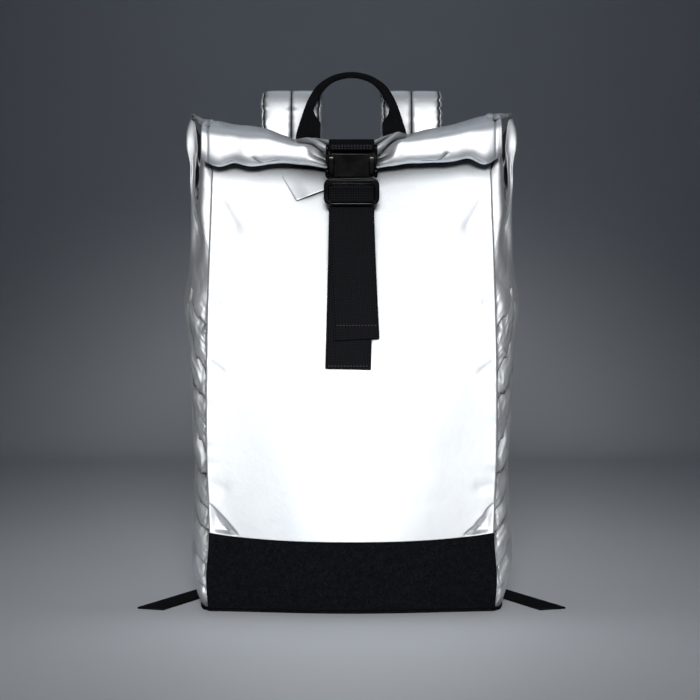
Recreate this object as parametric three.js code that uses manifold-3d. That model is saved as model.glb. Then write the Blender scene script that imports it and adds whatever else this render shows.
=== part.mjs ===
// Roll-top backpack standing on its base, sewn from reflective cloth with black webbing.
// Millimetres, +Z up. The front faces -Y and the wearer's side faces +Y.
// The origin is the middle of the base's underside.
import * as THREE from "three";
import { mergeVertices } from "three/addons/utils/BufferGeometryUtils.js";
import Module from "manifold-3d";

const wasm = await Module();
wasm.setup();

// Driving sizes
const CLOTH = 1.4; // wall of coated cloth with its lining
const ROLLED = 2.4; // two cloth layers rolled together
const GAP = 0.4; // clearance between sewn pieces
const LAP = 1.2; // reach of a gusset's edge behind the panel that covers it
const BASE_THICK = 2.4;
const WALL_BOTTOM = BASE_THICK + GAP;
const BAND_TOP_MID = 60.5; // black band's top edge at the middle
const BAND_TOP_RISE = 6; // and how much higher it is at the sides
const PANEL_TOP = 384; // front panel's edge, hidden behind the roll
const BACK_TOP = 392;
const SEAM_HALF = 121; // nominal half width of the front panel
const STRAP_WEB = { width: 38, thick: 1.6 };
const HANDLE_WEB = { width: 24, thick: 1.6 };
const SHOULDER_WEB = { width: 25, thick: 1.5 };
const STRAP_ANCHOR_Z = 205; // where the front strap is sewn to the front panel
const TAIL_END_Z = 229.5; // free end of the front strap

// Body sections from the base up: half widths at the seams, seam depths and how far the panels bulge
const BODY = [
  { z: 3, half: 121.5, frontY: -50, frontBulge: 15, backHalf: 117, backY: 55, backBulge: 5 },
  { z: 25, half: 123, frontY: -50.9, frontBulge: 16.6, backHalf: 118, backY: 55.4, backBulge: 5.8 },
  { z: 60, half: 120.8, frontY: -52, frontBulge: 19, backHalf: 119, backY: 56, backBulge: 7 },
  { z: 130, half: 123, frontY: -52, frontBulge: 20, backHalf: 121, backY: 56, backBulge: 8 },
  { z: 220, half: 123.2, frontY: -51, frontBulge: 19, backHalf: 121, backY: 55, backBulge: 8 },
  { z: 300, half: 121.3, frontY: -47, frontBulge: 15, backHalf: 120, backY: 49, backBulge: 7 },
  { z: 345, half: 120, frontY: -42, frontBulge: 8, backHalf: 119, backY: 40, backBulge: 5 },
  { z: 372, half: 119.3, frontY: -38, frontBulge: 2.5, backHalf: 119, backY: 30, backBulge: 4 },
  { z: 398, half: 118, frontY: -28, frontBulge: 0, backHalf: 119, backY: 10, backBulge: 2 },
];

// Gusset sections: the ridge beside the front seam, the fold behind it and the widest place of the side
const GUSSET = [
  { z: 3, ridgeX: 125, ridgeY: -43, foldX: 127.5, foldY: -14, sideX: 130.5, sideY: 16 },
  { z: 14, ridgeX: 127, ridgeY: -45, foldX: 131, foldY: -18, sideX: 133.5, sideY: 14 },
  { z: 35, ridgeX: 128, ridgeY: -46.5, foldX: 135, foldY: -21, sideX: 138, sideY: 12 },
  { z: 60, ridgeX: 126.5, ridgeY: -47.5, foldX: 135, foldY: -22, sideX: 138, sideY: 10 },
  { z: 105, ridgeX: 126.5, ridgeY: -47, foldX: 133.5, foldY: -22, sideX: 135.5, sideY: 10 },
  { z: 180, ridgeX: 128.5, ridgeY: -46.3, foldX: 136.5, foldY: -22, sideX: 139, sideY: 10 },
  { z: 225, ridgeX: 130, ridgeY: -45, foldX: 138.5, foldY: -22, sideX: 141.5, sideY: 9 },
  { z: 262, ridgeX: 130.5, ridgeY: -43, foldX: 141, foldY: -22, sideX: 146, sideY: 8 },
  { z: 305, ridgeX: 130.5, ridgeY: -40.5, foldX: 134.5, foldY: -24, sideX: 141.5, sideY: 5 },
  { z: 338, ridgeX: 129.5, ridgeY: -37, foldX: 131, foldY: -17, sideX: 140, sideY: 1 },
  { z: 362, ridgeX: 129, ridgeY: -35, foldX: 131, foldY: -13, sideX: 140.5, sideY: -3 },
  { z: 380, ridgeX: 128, ridgeY: -34, foldX: 131.5, foldY: -13, sideX: 140, sideY: -7 },
  { z: 398, ridgeX: 127, ridgeY: -34, foldX: 135.5, foldY: -20, sideX: 145, sideY: -8 },
  { z: 412, ridgeX: 127, ridgeY: -34, foldX: 135, foldY: -28, sideX: 144.5, sideY: -11 },
  { z: 426, ridgeX: 127, ridgeY: -34, foldX: 131, foldY: -36, sideX: 139.5, sideY: -14 },
];

// Top edge of a gusset from the front seam to the back seam: it rises to the ear beside the roll
const GUSSET_TOP = [
  { u: 0, z: 373 },
  { u: 0.25, z: 390 },
  { u: 0.46, z: 384 },
  { u: 0.54, z: 414 },
  { u: 0.62, z: 422 },
  { u: 0.75, z: 426 },
  { u: 0.87, z: 418 },
  { u: 1, z: 390 },
];

// Creases of a gusset: they slant from high on the side down to the front seam
const GUSSET_CREASES = [
  { seamZ: 278, sideZ: 297, depth: 6, spread: 9 },
  { seamZ: 240, sideZ: 262, depth: 2.5, spread: 9 },
  { seamZ: 199, sideZ: 230, depth: 5, spread: 9 },
  { seamZ: 168, sideZ: 192, depth: 4, spread: 8 },
  { seamZ: 131, sideZ: 166, depth: 5, spread: 9 },
  { seamZ: 95, sideZ: 120, depth: 4.5, spread: 9 },
  { seamZ: 66, sideZ: 80, depth: 3, spread: 8 },
];

// Creases of the front panel at each side: pulled folds at its lower and upper corners
const FRONT_CREASES = [
  { fromX: 121, fromZ: 104, toX: 90, toZ: 60, depth: 3.2, spread: 8 },
  { fromX: 121, fromZ: 122, toX: 99, toZ: 97, depth: 1.3, spread: 8 },
  { fromX: 115, fromZ: 356, toX: 92, toZ: 316, depth: 1.3, spread: 9 },
];

// The roll from its left end to its right end: its outer top, bottom, front and depth
const ROLL = [
  { x: -124, top: 417.5, bottom: 379, front: -66, depth: 26 },
  { x: -112, top: 415, bottom: 374.5, front: -67.5, depth: 26 },
  { x: -100, top: 412.5, bottom: 377.5, front: -67, depth: 26 },
  { x: -85, top: 410.5, bottom: 374.5, front: -68.5, depth: 26 },
  { x: -62, top: 405, bottom: 377.5, front: -68, depth: 26 },
  { x: -46, top: 399.5, bottom: 376.5, front: -66.5, depth: 25 },
  { x: -36, top: 401.5, bottom: 375.5, front: -67, depth: 25 },
  { x: -25, top: 398.5, bottom: 373, front: -66, depth: 24 },
  { x: 0, top: 398.5, bottom: 373, front: -66, depth: 24 },
  { x: 25, top: 398.5, bottom: 373, front: -66, depth: 24 },
  { x: 38, top: 405.5, bottom: 375.5, front: -67.5, depth: 25 },
  { x: 62, top: 407.5, bottom: 377.5, front: -68, depth: 26 },
  { x: 86, top: 412.5, bottom: 379, front: -67.5, depth: 26 },
  { x: 99, top: 416, bottom: 381.5, front: -67, depth: 26 },
  { x: 113, top: 420, bottom: 376.5, front: -68, depth: 26 },
  { x: 124, top: 422.5, bottom: 382.5, front: -66, depth: 26 },
];
const ROLL_HALF = 124;
const ROLL_TURN = { from: -30, to: 490, step: 26 }; // degrees from the top towards the front
const ROLL_PITCH = 3 / 270; // how fast the roll winds inwards, in mm for each degree
const GATHER = { x: 37, spread: 8, height: 2.2, pleats: 4 }; // pleats beside the strap

// Corner of the rolled mouth that shows under the roll, left of the buckle
const MOUTH_CORNER = {
  top: { left: -54, right: -18, z: 381, y: -55 },
  bottom: { left: -47.5, right: -20.5, leftZ: 348, rightZ: 357.5, y: -51.5 },
};

// Shoulder strap from its sewn end, over the fold at the top, down to its adjuster
const SHOULDER = [
  { x: 54, y: 50.6, z: 338, width: 54, thick: 4 },
  { x: 54, y: 44, z: 372, width: 54, thick: 7 },
  { x: 54, y: 41, z: 405, width: 55, thick: 9 },
  { x: 54, y: 41.5, z: 436, width: 55, thick: 10 },
  { x: 54, y: 51, z: 450, width: 55, thick: 10 },
  { x: 54.5, y: 60.5, z: 437, width: 55, thick: 10 },
  { x: 56, y: 74, z: 400, width: 55, thick: 10 },
  { x: 60, y: 92, z: 330, width: 55, thick: 10 },
  { x: 66, y: 100, z: 250, width: 55, thick: 10 },
  { x: 73, y: 97, z: 170, width: 50, thick: 10 },
  { x: 79, y: 88, z: 108, width: 34, thick: 6 },
];

// Side-release buckle in its own frame: z up from the joint of its halves, front towards -y
const BUCKLE = { y: -72.5, z: 364, tilt: 5, thick: 11, cornerRound: 2.5 };
const SOCKET = { bottom: 0.6, waistZ: 9, bodyTop: 20.5, top: 28, half: 21.4, waist: 20.4 };
const PLUG = { bottom: -23, top: 0.2, half: 23.2, rail: 19.6, barRound: 1.6 };

// A ladder frame: webbing comes up behind its foot bar, goes over its grip bar and back down
const LADDER_FRONT = -5;
const LADDER_FOOT_BACK = -1.6;
const LADDER_GRIP = { z: -7.4, y: -0.3, radius: 1.5 };
const ADJUSTER = { x: 79, y: 86.5, z: 104.4, tilt: 8, half: 16.2, rail: 12.9, bottom: -23, thick: 8 };

// Floor line of each shoulder tail, which passes the back corner and points forwards
const TAIL_FLOOR = { fromX: 118.3, fromY: 96, toX: 171, toY: -42, lift: 0.2 };
const WEB_ANCHOR = { x: 106, z: 8 };

// Materials
const finish = (color, roughness) => new THREE.MeshStandardMaterial({ color, roughness, metalness: 0 });
const reflective = finish(0xe6e6e4, 0.55);
const blackCloth = finish(0x17191d, 0.85);
const blackWebbing = finish(0x141519, 0.8);
const blackPlastic = finish(0x0c0d0f, 0.4);

// Small helpers
const { lerp, smoothstep, degToRad } = THREE.MathUtils;
const vec = (x, y, z) => new THREE.Vector3(x, y, z);
const steps = (count) => Array.from({ length: count + 1 }, (_, i) => i / count);
const bell = (t) => Math.exp(-t * t);

// Smooth reading of a table whose rows are ordered by one column.
function tableOf(rows, key) {
  const names = Object.keys(rows[0]);
  const spline = new THREE.CubicInterpolant(
    rows.map((row) => row[key]),
    rows.flatMap((row) => names.map((name) => row[name])),
    names.length,
  );
  return (at) => {
    const values = spline.evaluate(at);
    return Object.fromEntries(names.map((name, i) => [name, values[i]]));
  };
}
const body = tableOf(BODY, "z");
const gussetAt = tableOf(GUSSET, "z");
const gussetTop = tableOf(GUSSET_TOP, "u");
const rollAt = tableOf(ROLL, "x");

// Closed solid through loops that all have the same even number of points. Each loop runs along one
// face and back along the other, so its ends are closed by strips between the two halves.
function loft(loops) {
  const size = loops[0].length;
  const last = (loops.length - 1) * size;
  const index = [];
  for (let row = 0; row + 1 < loops.length; row++) {
    for (let i = 0; i < size; i++) {
      const a = row * size + i;
      const b = row * size + ((i + 1) % size);
      index.push(a, b, b + size, a, b + size, a + size);
    }
  }
  for (let i = 0; i < size / 2 - 1; i++) {
    const j = size - 1 - i;
    index.push(i, j - 1, i + 1, i, j, j - 1);
    index.push(last + i, last + i + 1, last + j - 1, last + i, last + j - 1, last + j);
  }
  const geometry = new THREE.BufferGeometry().setFromPoints(loops.flat());
  geometry.setIndex(index);
  if (volumeOf(geometry) < 0) geometry.setIndex(index.reverse());
  geometry.computeVertexNormals();
  return geometry;
}

function volumeOf(geometry) {
  const at = (i) => vec(0, 0, 0).fromBufferAttribute(geometry.attributes.position, geometry.index.getX(i));
  let six = 0;
  for (let i = 0; i < geometry.index.count; i += 3) six += at(i).dot(at(i + 1).cross(at(i + 2)));
  return six / 6;
}

// Boolean solids
function solid(geometry) {
  const bare = new THREE.BufferGeometry().setAttribute("position", geometry.getAttribute("position"));
  if (geometry.index) bare.setIndex(geometry.index);
  const merged = mergeVertices(bare, 1e-3);
  const vertProperties = new Float32Array(merged.attributes.position.array);
  const triVerts = new Uint32Array(merged.index.array);
  return new wasm.Manifold(new wasm.Mesh({ numProp: 3, vertProperties, triVerts }));
}

function geometryOf(made) {
  const mesh = made.getMesh();
  const geometry = new THREE.BufferGeometry();
  geometry.setAttribute("position", new THREE.BufferAttribute(mesh.vertProperties, 3));
  geometry.setIndex(new THREE.BufferAttribute(mesh.triVerts, 1));
  geometry.computeVertexNormals();
  return geometry;
}

function block(x, y, z) {
  const box = new THREE.BoxGeometry(x[1] - x[0], y[1] - y[0], z[1] - z[0]);
  return solid(box.translate((x[0] + x[1]) / 2, (y[0] + y[1]) / 2, (z[0] + z[1]) / 2));
}

// A rod along X.
function rod(halfLength, radius, y, z) {
  const turned = new THREE.CylinderGeometry(radius, radius, 2 * halfLength, 10).rotateZ(Math.PI / 2);
  return solid(turned.translate(0, y, z));
}

// An outline in x and z, made thick along y around the middle plane, with bevelled edges.
function plate(shape, front, back, bevel) {
  const extrude = new THREE.ExtrudeGeometry(shape, {
    depth: back - front - 2 * bevel,
    bevelThickness: bevel,
    bevelSize: bevel,
    bevelOffset: -bevel,
    bevelSegments: 1,
    curveSegments: 3,
  });
  return solid(extrude.rotateX(Math.PI / 2).translate(0, back - bevel, 0));
}

function roundedOutline(left, right, bottom, top, radius) {
  const shape = new THREE.Shape();
  shape.absarc(right - radius, bottom + radius, radius, -Math.PI / 2, 0);
  shape.absarc(right - radius, top - radius, radius, 0, Math.PI / 2);
  shape.absarc(left + radius, top - radius, radius, Math.PI / 2, Math.PI);
  shape.absarc(left + radius, bottom + radius, radius, Math.PI, 1.5 * Math.PI);
  return shape;
}

// Outer surfaces of the front and back
const fall = (x, half) => 1 - (x / half) ** 2;

function frontDent(x, z) {
  let dent = 0;
  for (const c of FRONT_CREASES) {
    const along = vec(c.toX - c.fromX, 0, c.toZ - c.fromZ);
    const offset = vec(Math.abs(x) - c.fromX, 0, z - c.fromZ);
    const share = offset.dot(along) / along.lengthSq();
    const away = offset.cross(along).y / along.length();
    const fade = smoothstep(share, -0.2, 0.1) * (1 - smoothstep(share, 0.7, 1.3));
    dent += c.depth * fade * bell(away / c.spread);
  }
  return dent;
}

function frontY(x, z) {
  const b = body(z);
  return b.frontY - b.frontBulge * fall(x, b.half) + frontDent(x, z);
}

function backY(x, z) {
  const b = body(z);
  return b.backY + b.backBulge * fall(x, b.backHalf);
}

const bandTop = (x) => BAND_TOP_MID + BAND_TOP_RISE * Math.abs(x / SEAM_HALF) ** 3;

// A panel between the seams. heights(x) gives its lower and upper edge; columns crowd at the sides.
function panel({ columns, rows, heights, surface, halfName, inwards }) {
  const loops = steps(rows).map((v) => {
    const outer = steps(columns).map((s) => {
      const share = Math.sin(Math.PI * (s - 0.5));
      const [low, high] = heights(share * SEAM_HALF);
      const z = lerp(low, high, v);
      const x = share * body(z)[halfName];
      return vec(x, surface(x, z), z);
    });
    const inner = outer.map((p) => p.clone().add(vec(0, inwards * CLOTH, 0)));
    return [...outer, ...inner.reverse()];
  });
  return loft(loops);
}

const frontPanel = panel({
  columns: 16,
  rows: 20,
  heights: (x) => [bandTop(x), PANEL_TOP],
  surface: frontY,
  halfName: "half",
  inwards: 1,
});

const frontBand = panel({
  columns: 16,
  rows: 4,
  heights: (x) => [WALL_BOTTOM, bandTop(x) - GAP],
  surface: frontY,
  halfName: "half",
  inwards: 1,
});

const backPanel = panel({
  columns: 10,
  rows: 16,
  heights: () => [WALL_BOTTOM, BACK_TOP],
  surface: backY,
  halfName: "backHalf",
  inwards: -1,
});

// Plan of a gusset at one height, from the front seam round the side to the back seam
function gussetCurve(z) {
  const b = body(z);
  const g = gussetAt(z);
  const besideRoll = 9 * smoothstep(z, 382, 396);
  return new THREE.CatmullRomCurve3([
    vec(b.half - LAP, frontY(b.half, z) + CLOTH + 1.8 * GAP, z),
    vec(g.ridgeX, g.ridgeY, z),
    vec(g.foldX, g.foldY, z),
    vec(g.sideX, g.sideY, z),
    vec(b.backHalf - LAP + besideRoll, backY(b.backHalf, z) - CLOTH - 3.2 * GAP, z),
  ]);
}

// Base under the panels and gussets, with their outline
function basePanel() {
  const { half, backHalf } = body(WALL_BOTTOM);
  const across = steps(10).map((s) => lerp(-1, 1, s));
  const sides = steps(7).slice(1, -1).map((u) => gussetCurve(WALL_BOTTOM).getPoint(u));
  const front = across.map((s) => new THREE.Vector2(s * half, frontY(s * half, WALL_BOTTOM)));
  const right = sides.map((p) => new THREE.Vector2(p.x, p.y));
  const back = across.map((s) => new THREE.Vector2(-s * backHalf, backY(s * backHalf, WALL_BOTTOM)));
  const left = sides.map((p) => new THREE.Vector2(-p.x, p.y)).reverse();
  const outline = new THREE.Shape([...front, ...right, ...back, ...left]);
  return new THREE.ExtrudeGeometry(outline, { depth: BASE_THICK, bevelEnabled: false });
}

function gussetDent(u, z) {
  const reach = smoothstep(u, 0.06, 0.2) * (1 - smoothstep(u, 0.55, 0.85));
  const crease = (c) => c.depth * bell((z - lerp(c.seamZ, c.sideZ, u / 0.75)) / c.spread);
  return reach * GUSSET_CREASES.map(crease).reduce((sum, d) => sum + d, 0);
}

// The gusset at +X; the other one is its mirror image.
function gusset(side) {
  const columns = steps(12);
  const loops = steps(27).map((v) => {
    const outer = [];
    const inner = [];
    for (const u of columns) {
      const z = lerp(WALL_BOTTOM, gussetTop(u).z, v);
      const curve = gussetCurve(z);
      const p = curve.getPoint(u);
      const tangent = curve.getTangent(u);
      p.x -= gussetDent(u, z);
      outer.push(vec(side * p.x, p.y, z));
      inner.push(vec(side * (p.x - CLOTH * tangent.y), p.y + CLOTH * tangent.x, z));
    }
    return [...outer, ...inner.reverse()];
  });
  return loft(loops);
}

// Rolled mouth: two layers run from the back panel over the top, down the front and round inside
function gather(x, degrees) {
  const fade = 1 - smoothstep(degrees, 100, 150);
  const near = bell((Math.abs(x) - GATHER.x) / GATHER.spread);
  const pleat = 0.5 + 0.5 * Math.cos(degToRad(degrees * GATHER.pleats));
  return GATHER.height * fade * near * pleat;
}

function rollLine(x) {
  const r = rollAt(x);
  const centre = { y: r.front + r.depth / 2, z: (r.top + r.bottom) / 2 };
  const radius = { y: (r.depth - ROLLED) / 2, z: (r.top - r.bottom - ROLLED) / 2 };
  const turn = [];
  for (let d = ROLL_TURN.from; d <= ROLL_TURN.to; d += ROLL_TURN.step) {
    const angle = degToRad(d);
    const grow = gather(x, d) - ROLL_PITCH * Math.max(0, d - 60);
    const y = centre.y - (radius.y + grow) * Math.sin(angle);
    turn.push(vec(x, y, centre.z + (radius.z + grow) * Math.cos(angle)));
  }
  const start = vec(x, backY(x, BACK_TOP) - ROLLED / 2, BACK_TOP + GAP + ROLLED / 2);
  const rise = steps(4).slice(0, -1).map((t) => {
    const p = start.clone().lerp(turn[0], t);
    p.z += 3 * Math.sin(Math.PI * t);
    return p;
  });
  return [...rise, ...turn];
}

// Offsets a line in a YZ plane to its left, which is outwards on the roll.
function offsetLine(line, distance) {
  return line.map((p, i) => {
    const before = line[Math.max(0, i - 1)];
    const after = line[Math.min(line.length - 1, i + 1)];
    const along = after.clone().sub(before).normalize();
    return p.clone().add(vec(0, along.z, -along.y).multiplyScalar(distance));
  });
}

function rollTop() {
  const stations = steps(20).map((s) => ROLL_HALF * (2 * s - 1));
  const band = loft(stations.map((x) => {
    const line = rollLine(x);
    return [...offsetLine(line, ROLLED / 2), ...offsetLine(line, -ROLLED / 2).reverse()];
  }));
  const { top, bottom } = MOUTH_CORNER;
  const corner = loft(steps(3).map((v) => {
    const outer = steps(5).map((s) => {
      const lowZ = lerp(bottom.leftZ, bottom.rightZ, s);
      const x = lerp(lerp(top.left, top.right, s), lerp(bottom.left, bottom.right, s), v);
      return vec(x, lerp(top.y, bottom.y, v), lerp(top.z, lowZ, v));
    });
    const inner = outer.map((p) => p.clone().add(vec(0, CLOTH, 0)));
    return [...outer, ...inner.reverse()];
  }));
  return geometryOf(solid(band).add(solid(corner)));
}

// Webbing along a list of points. across gives the width's direction at each point.
function ribbon(points, web, across = () => vec(1, 0, 0)) {
  const loops = points.map((p, i) => {
    const before = points[Math.max(0, i - 1)];
    const after = points[Math.min(points.length - 1, i + 1)];
    const along = after.clone().sub(before).normalize();
    const width = across(i / (points.length - 1), along);
    width.addScaledVector(along, -width.dot(along)).normalize().multiplyScalar(web.width / 2);
    const depth = along.clone().cross(width).normalize().multiplyScalar(web.thick / 2);
    return [
      p.clone().add(width).add(depth),
      p.clone().sub(width).add(depth),
      p.clone().sub(width).sub(depth),
      p.clone().add(width).sub(depth),
    ];
  });
  return loft(loops);
}

// Part of a circle in the YZ plane, angles in degrees from +y towards +z.
function arcPoints(y, z, radius, from, to, count) {
  return steps(count).map((t) => {
    const angle = degToRad(lerp(from, to, t));
    return vec(0, y + radius * Math.cos(angle), z + radius * Math.sin(angle));
  });
}

// Buckle halves, in the buckle's own frame
function socket() {
  const s = SOCKET;
  const outline = new THREE.Shape();
  outline.moveTo(-s.half, s.bottom);
  outline.lineTo(s.half, s.bottom);
  outline.quadraticCurveTo(s.half, s.waistZ / 2, s.waist, s.waistZ);
  outline.quadraticCurveTo(s.waist, s.bodyTop * 0.8, s.half, s.bodyTop);
  outline.lineTo(s.half, s.top - BUCKLE.cornerRound);
  outline.quadraticCurveTo(s.half, s.top, s.half - BUCKLE.cornerRound, s.top);
  outline.lineTo(-s.half + BUCKLE.cornerRound, s.top);
  outline.quadraticCurveTo(-s.half, s.top, -s.half, s.top - BUCKLE.cornerRound);
  outline.lineTo(-s.half, s.bodyTop);
  outline.quadraticCurveTo(-s.waist, s.bodyTop * 0.8, -s.waist, s.waistZ);
  outline.quadraticCurveTo(-s.half, s.waistZ / 2, -s.half, s.bottom);
  const depth = BUCKLE.thick / 2;
  const pocket = block([-17.4, 17.4], [-3, 3], [-1, 17]);
  const windows = block([-30, 30], [-3, 3], [3.2, 12]);
  const webSlot = block([-PLUG.rail, PLUG.rail], [-20, 20], [s.bodyTop, s.top + 1]);
  const bar = rod(PLUG.rail + 0.5, PLUG.barRound, 0, s.top - PLUG.barRound - 0.4);
  const made = plate(outline, -depth, depth, 1.2).subtract(pocket).subtract(windows).subtract(webSlot);
  return geometryOf(made.add(bar));
}

function ladder({ half, rail, bottom, top, back }) {
  const frame = plate(roundedOutline(-half, half, bottom, top, BUCKLE.cornerRound), LADDER_FRONT, back, 0.8);
  const inside = block([-rail, rail], [-20, 20], [bottom - 1, -2.6]);
  const foot = block([-rail - 0.5, rail + 0.5], [LADDER_FRONT, LADDER_FOOT_BACK], [bottom + 0.6, bottom + 4]);
  const grip = rod(rail + 0.5, LADDER_GRIP.radius, LADDER_GRIP.y, LADDER_GRIP.z);
  return frame.subtract(inside).add(foot).add(grip);
}

function plug() {
  let made = ladder({ ...PLUG, back: 4.6 });
  for (const side of [-1, 1]) {
    const span = (from, to) => [Math.min(side * from, side * to), Math.max(side * from, side * to)];
    const arm = block(span(11.5, 16.6), [-2.5, 2.5], [-1, 15.5]);
    const pad = block(span(15, 22.4), [-2.5, 2.5], [3.7, 11.5]);
    made = made.add(arm).add(pad);
  }
  return geometryOf(made.add(block([-4, 4], [-2.5, 2.5], [-1, 14])));
}

// How webbing runs through a ladder frame, in the frame's own axes, from below and back down again
function ladderRun(thick, footZ) {
  const clear = 0.3 + thick / 2;
  const front = LADDER_FOOT_BACK + clear;
  const behind = front + thick + 0.35;
  const round = LADDER_GRIP.radius + clear;
  return [
    vec(0, behind, footZ - 7),
    vec(0, behind, footZ),
    vec(0, behind, footZ + 5),
    ...arcPoints(LADDER_GRIP.y, LADDER_GRIP.z, round, 0, 180, 6),
    vec(0, front - 0.4, LADDER_GRIP.z - round - 2),
    vec(0, front, footZ + 5),
    vec(0, front, footZ),
    vec(0, front, footZ - 7),
  ];
}

const pack = new THREE.Group();
const buckle = new THREE.Group();
buckle.position.set(0, BUCKLE.y, BUCKLE.z);
buckle.rotation.x = degToRad(BUCKLE.tilt);
pack.add(buckle);
buckle.updateMatrixWorld(true);
const atBuckle = (p) => buckle.localToWorld(p.clone());

// Webbing over the roll, from its sewn end on the back panel to the socket's bar
function rollStrap() {
  const lift = 0.9 + STRAP_WEB.thick / 2;
  const onBack = steps(5).map((t) => vec(0, 0, lerp(340, 389, t)));
  onBack.forEach((p) => p.setY(backY(0, p.z)));
  const back = offsetLine(onBack, lift);
  const over = offsetLine(rollLine(0), ROLLED / 2 + lift).slice(0, 7);
  const barZ = SOCKET.top - PLUG.barRound - 0.4;
  const loop = arcPoints(0, barZ, PLUG.barRound + 0.3 + STRAP_WEB.thick / 2, 116, 360, 8);
  const returned = loop.at(-1).clone().add(vec(0, 0, 1.2));
  return ribbon([...back, ...over, ...[...loop, returned].map(atBuckle)], STRAP_WEB);
}

// Webbing sewn to the front panel, up through the plug's ladder and down again as a free tail
function frontStrap() {
  const lift = GAP + STRAP_WEB.thick / 2;
  const onPanel = (x, z) => vec(x, frontY(0, z) - lift, z);
  const run = ladderRun(STRAP_WEB.thick, PLUG.bottom - 2).map(atBuckle);
  const fixed = [onPanel(-2.9, STRAP_ANCHOR_Z), onPanel(-2.4, 225), onPanel(-1.9, 245)];
  const hang = vec(-0.6, -69, 300);
  const tailGap = STRAP_WEB.thick + 0.5;
  const tail = [
    hang.clone().add(vec(1.6, -tailGap, 0)),
    fixed[2].clone().add(vec(5.4, -tailGap, 0)),
    vec(4.3, frontY(0, TAIL_END_Z) - lift - tailGap, TAIL_END_Z),
  ];
  return ribbon([...fixed, hang, ...run, ...tail], STRAP_WEB);
}

// Carry handle: flat against the back at its ends, turned edge-on to the front over the arch
function carryHandle() {
  const lift = GAP + HANDLE_WEB.thick / 2;
  const half = [
    vec(-38, backY(26, 346) + lift, 346),
    vec(-38, backY(26, 368) + lift + 1, 368),
    vec(-38.5, 33, 392),
    vec(-38, 28, 412),
    vec(-33, 22, 435),
    vec(-23, 20.5, 453),
    vec(-10, 20, 463.5),
  ];
  const mirrored = half.map((p) => vec(-p.x, p.y, p.z)).reverse();
  const path = new THREE.CatmullRomCurve3([...half, vec(0, 20, 465), ...mirrored]);
  const turned = (t) => smoothstep(Math.min(t, 1 - t), 0.2, 0.42) * (Math.PI / 2);
  const across = (t, along) => {
    const outwards = along.clone().cross(vec(0, 1, 0)).normalize();
    return outwards.multiplyScalar(Math.cos(turned(t))).add(vec(0, Math.sin(turned(t)), 0));
  };
  return ribbon(path.getPoints(32), HANDLE_WEB, across);
}

// Padded shoulder strap with a sewn channel along its middle
function shoulderStrap(side) {
  const path = new THREE.CatmullRomCurve3(SHOULDER.map((r) => vec(side * r.x, r.y, r.z)));
  const along = tableOf(SHOULDER.map((r, i) => ({ i, width: r.width, thick: r.thick })), "i");
  const section = [
    [-0.5, 0], [-0.47, 0.3], [-0.36, 0.48], [-0.12, 0.46], [0, 0.3], [0.12, 0.46], [0.36, 0.48], [0.47, 0.3],
    [0.5, 0], [0.47, -0.3], [0.36, -0.48], [0, -0.5], [-0.36, -0.48], [-0.47, -0.3],
  ];
  const loops = steps(28).map((t) => {
    const p = path.getPoint(t);
    const { width, thick } = along(t * (SHOULDER.length - 1));
    const tangent = path.getTangent(t);
    const out = vec(1, 0, 0).cross(tangent).normalize();
    return section.map(([a, b]) => p.clone().add(vec(a * width, 0, 0)).addScaledVector(out, b * thick));
  });
  return loft(loops);
}

// Adjuster under each shoulder strap, and its webbing from the base corner to the free tail on the floor
function adjusterGroup(side) {
  const group = new THREE.Group();
  group.position.set(side * ADJUSTER.x, ADJUSTER.y, ADJUSTER.z);
  group.rotation.x = degToRad(-ADJUSTER.tilt);
  group.updateMatrixWorld(true);
  return group;
}

function shoulderWebbing(side, group) {
  const place = (p) => group.localToWorld(p.clone());
  const run = ladderRun(SHOULDER_WEB.thick, ADJUSTER.bottom - 2).map(place);
  const inner = WEB_ANCHOR.x - SHOULDER_WEB.width / 2;
  const onBack = (z) => backY(inner, z) + 3 * GAP + SHOULDER_WEB.thick / 2;
  const sewn = [0, 8].map((up) => vec(side * WEB_ANCHOR.x, onBack(WEB_ANCHOR.z + up), WEB_ANCHOR.z + up));
  const up = vec(side * 92, 74, 48);
  const floor = TAIL_FLOOR;
  const floorZ = floor.lift + SHOULDER_WEB.thick / 2;
  const onFloor = (t) => vec(side * lerp(floor.fromX, floor.toX, t), lerp(floor.fromY, floor.toY, t), floorZ);
  const drop = [
    run.at(-1),
    vec(side * 82, 95, 52),
    vec(side * 91, 105, 28),
    vec(side * 101, 111, 11),
    vec(side * 110, 107, 2.8),
    onFloor(0),
  ];
  const down = new THREE.CatmullRomCurve3(drop).getPoints(16).slice(1);
  const points = [...sewn, up, ...run, ...down, onFloor(0.03), onFloor(0.5), onFloor(1)];
  const flat = vec(floor.fromY - floor.toY, side * (floor.toX - floor.fromX), 0).normalize();
  const turnFrom = 3 + run.length;
  const across = (t) => {
    const share = smoothstep(t * (points.length - 1), turnFrom, turnFrom + 15);
    return vec(1, 0, 0).lerp(flat, share);
  };
  return ribbon(points, SHOULDER_WEB, across);
}

// Assembly
function add(group, name, geometry, material) {
  const mesh = new THREE.Mesh(geometry, material.clone());
  mesh.name = name;
  group.add(mesh);
}

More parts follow.
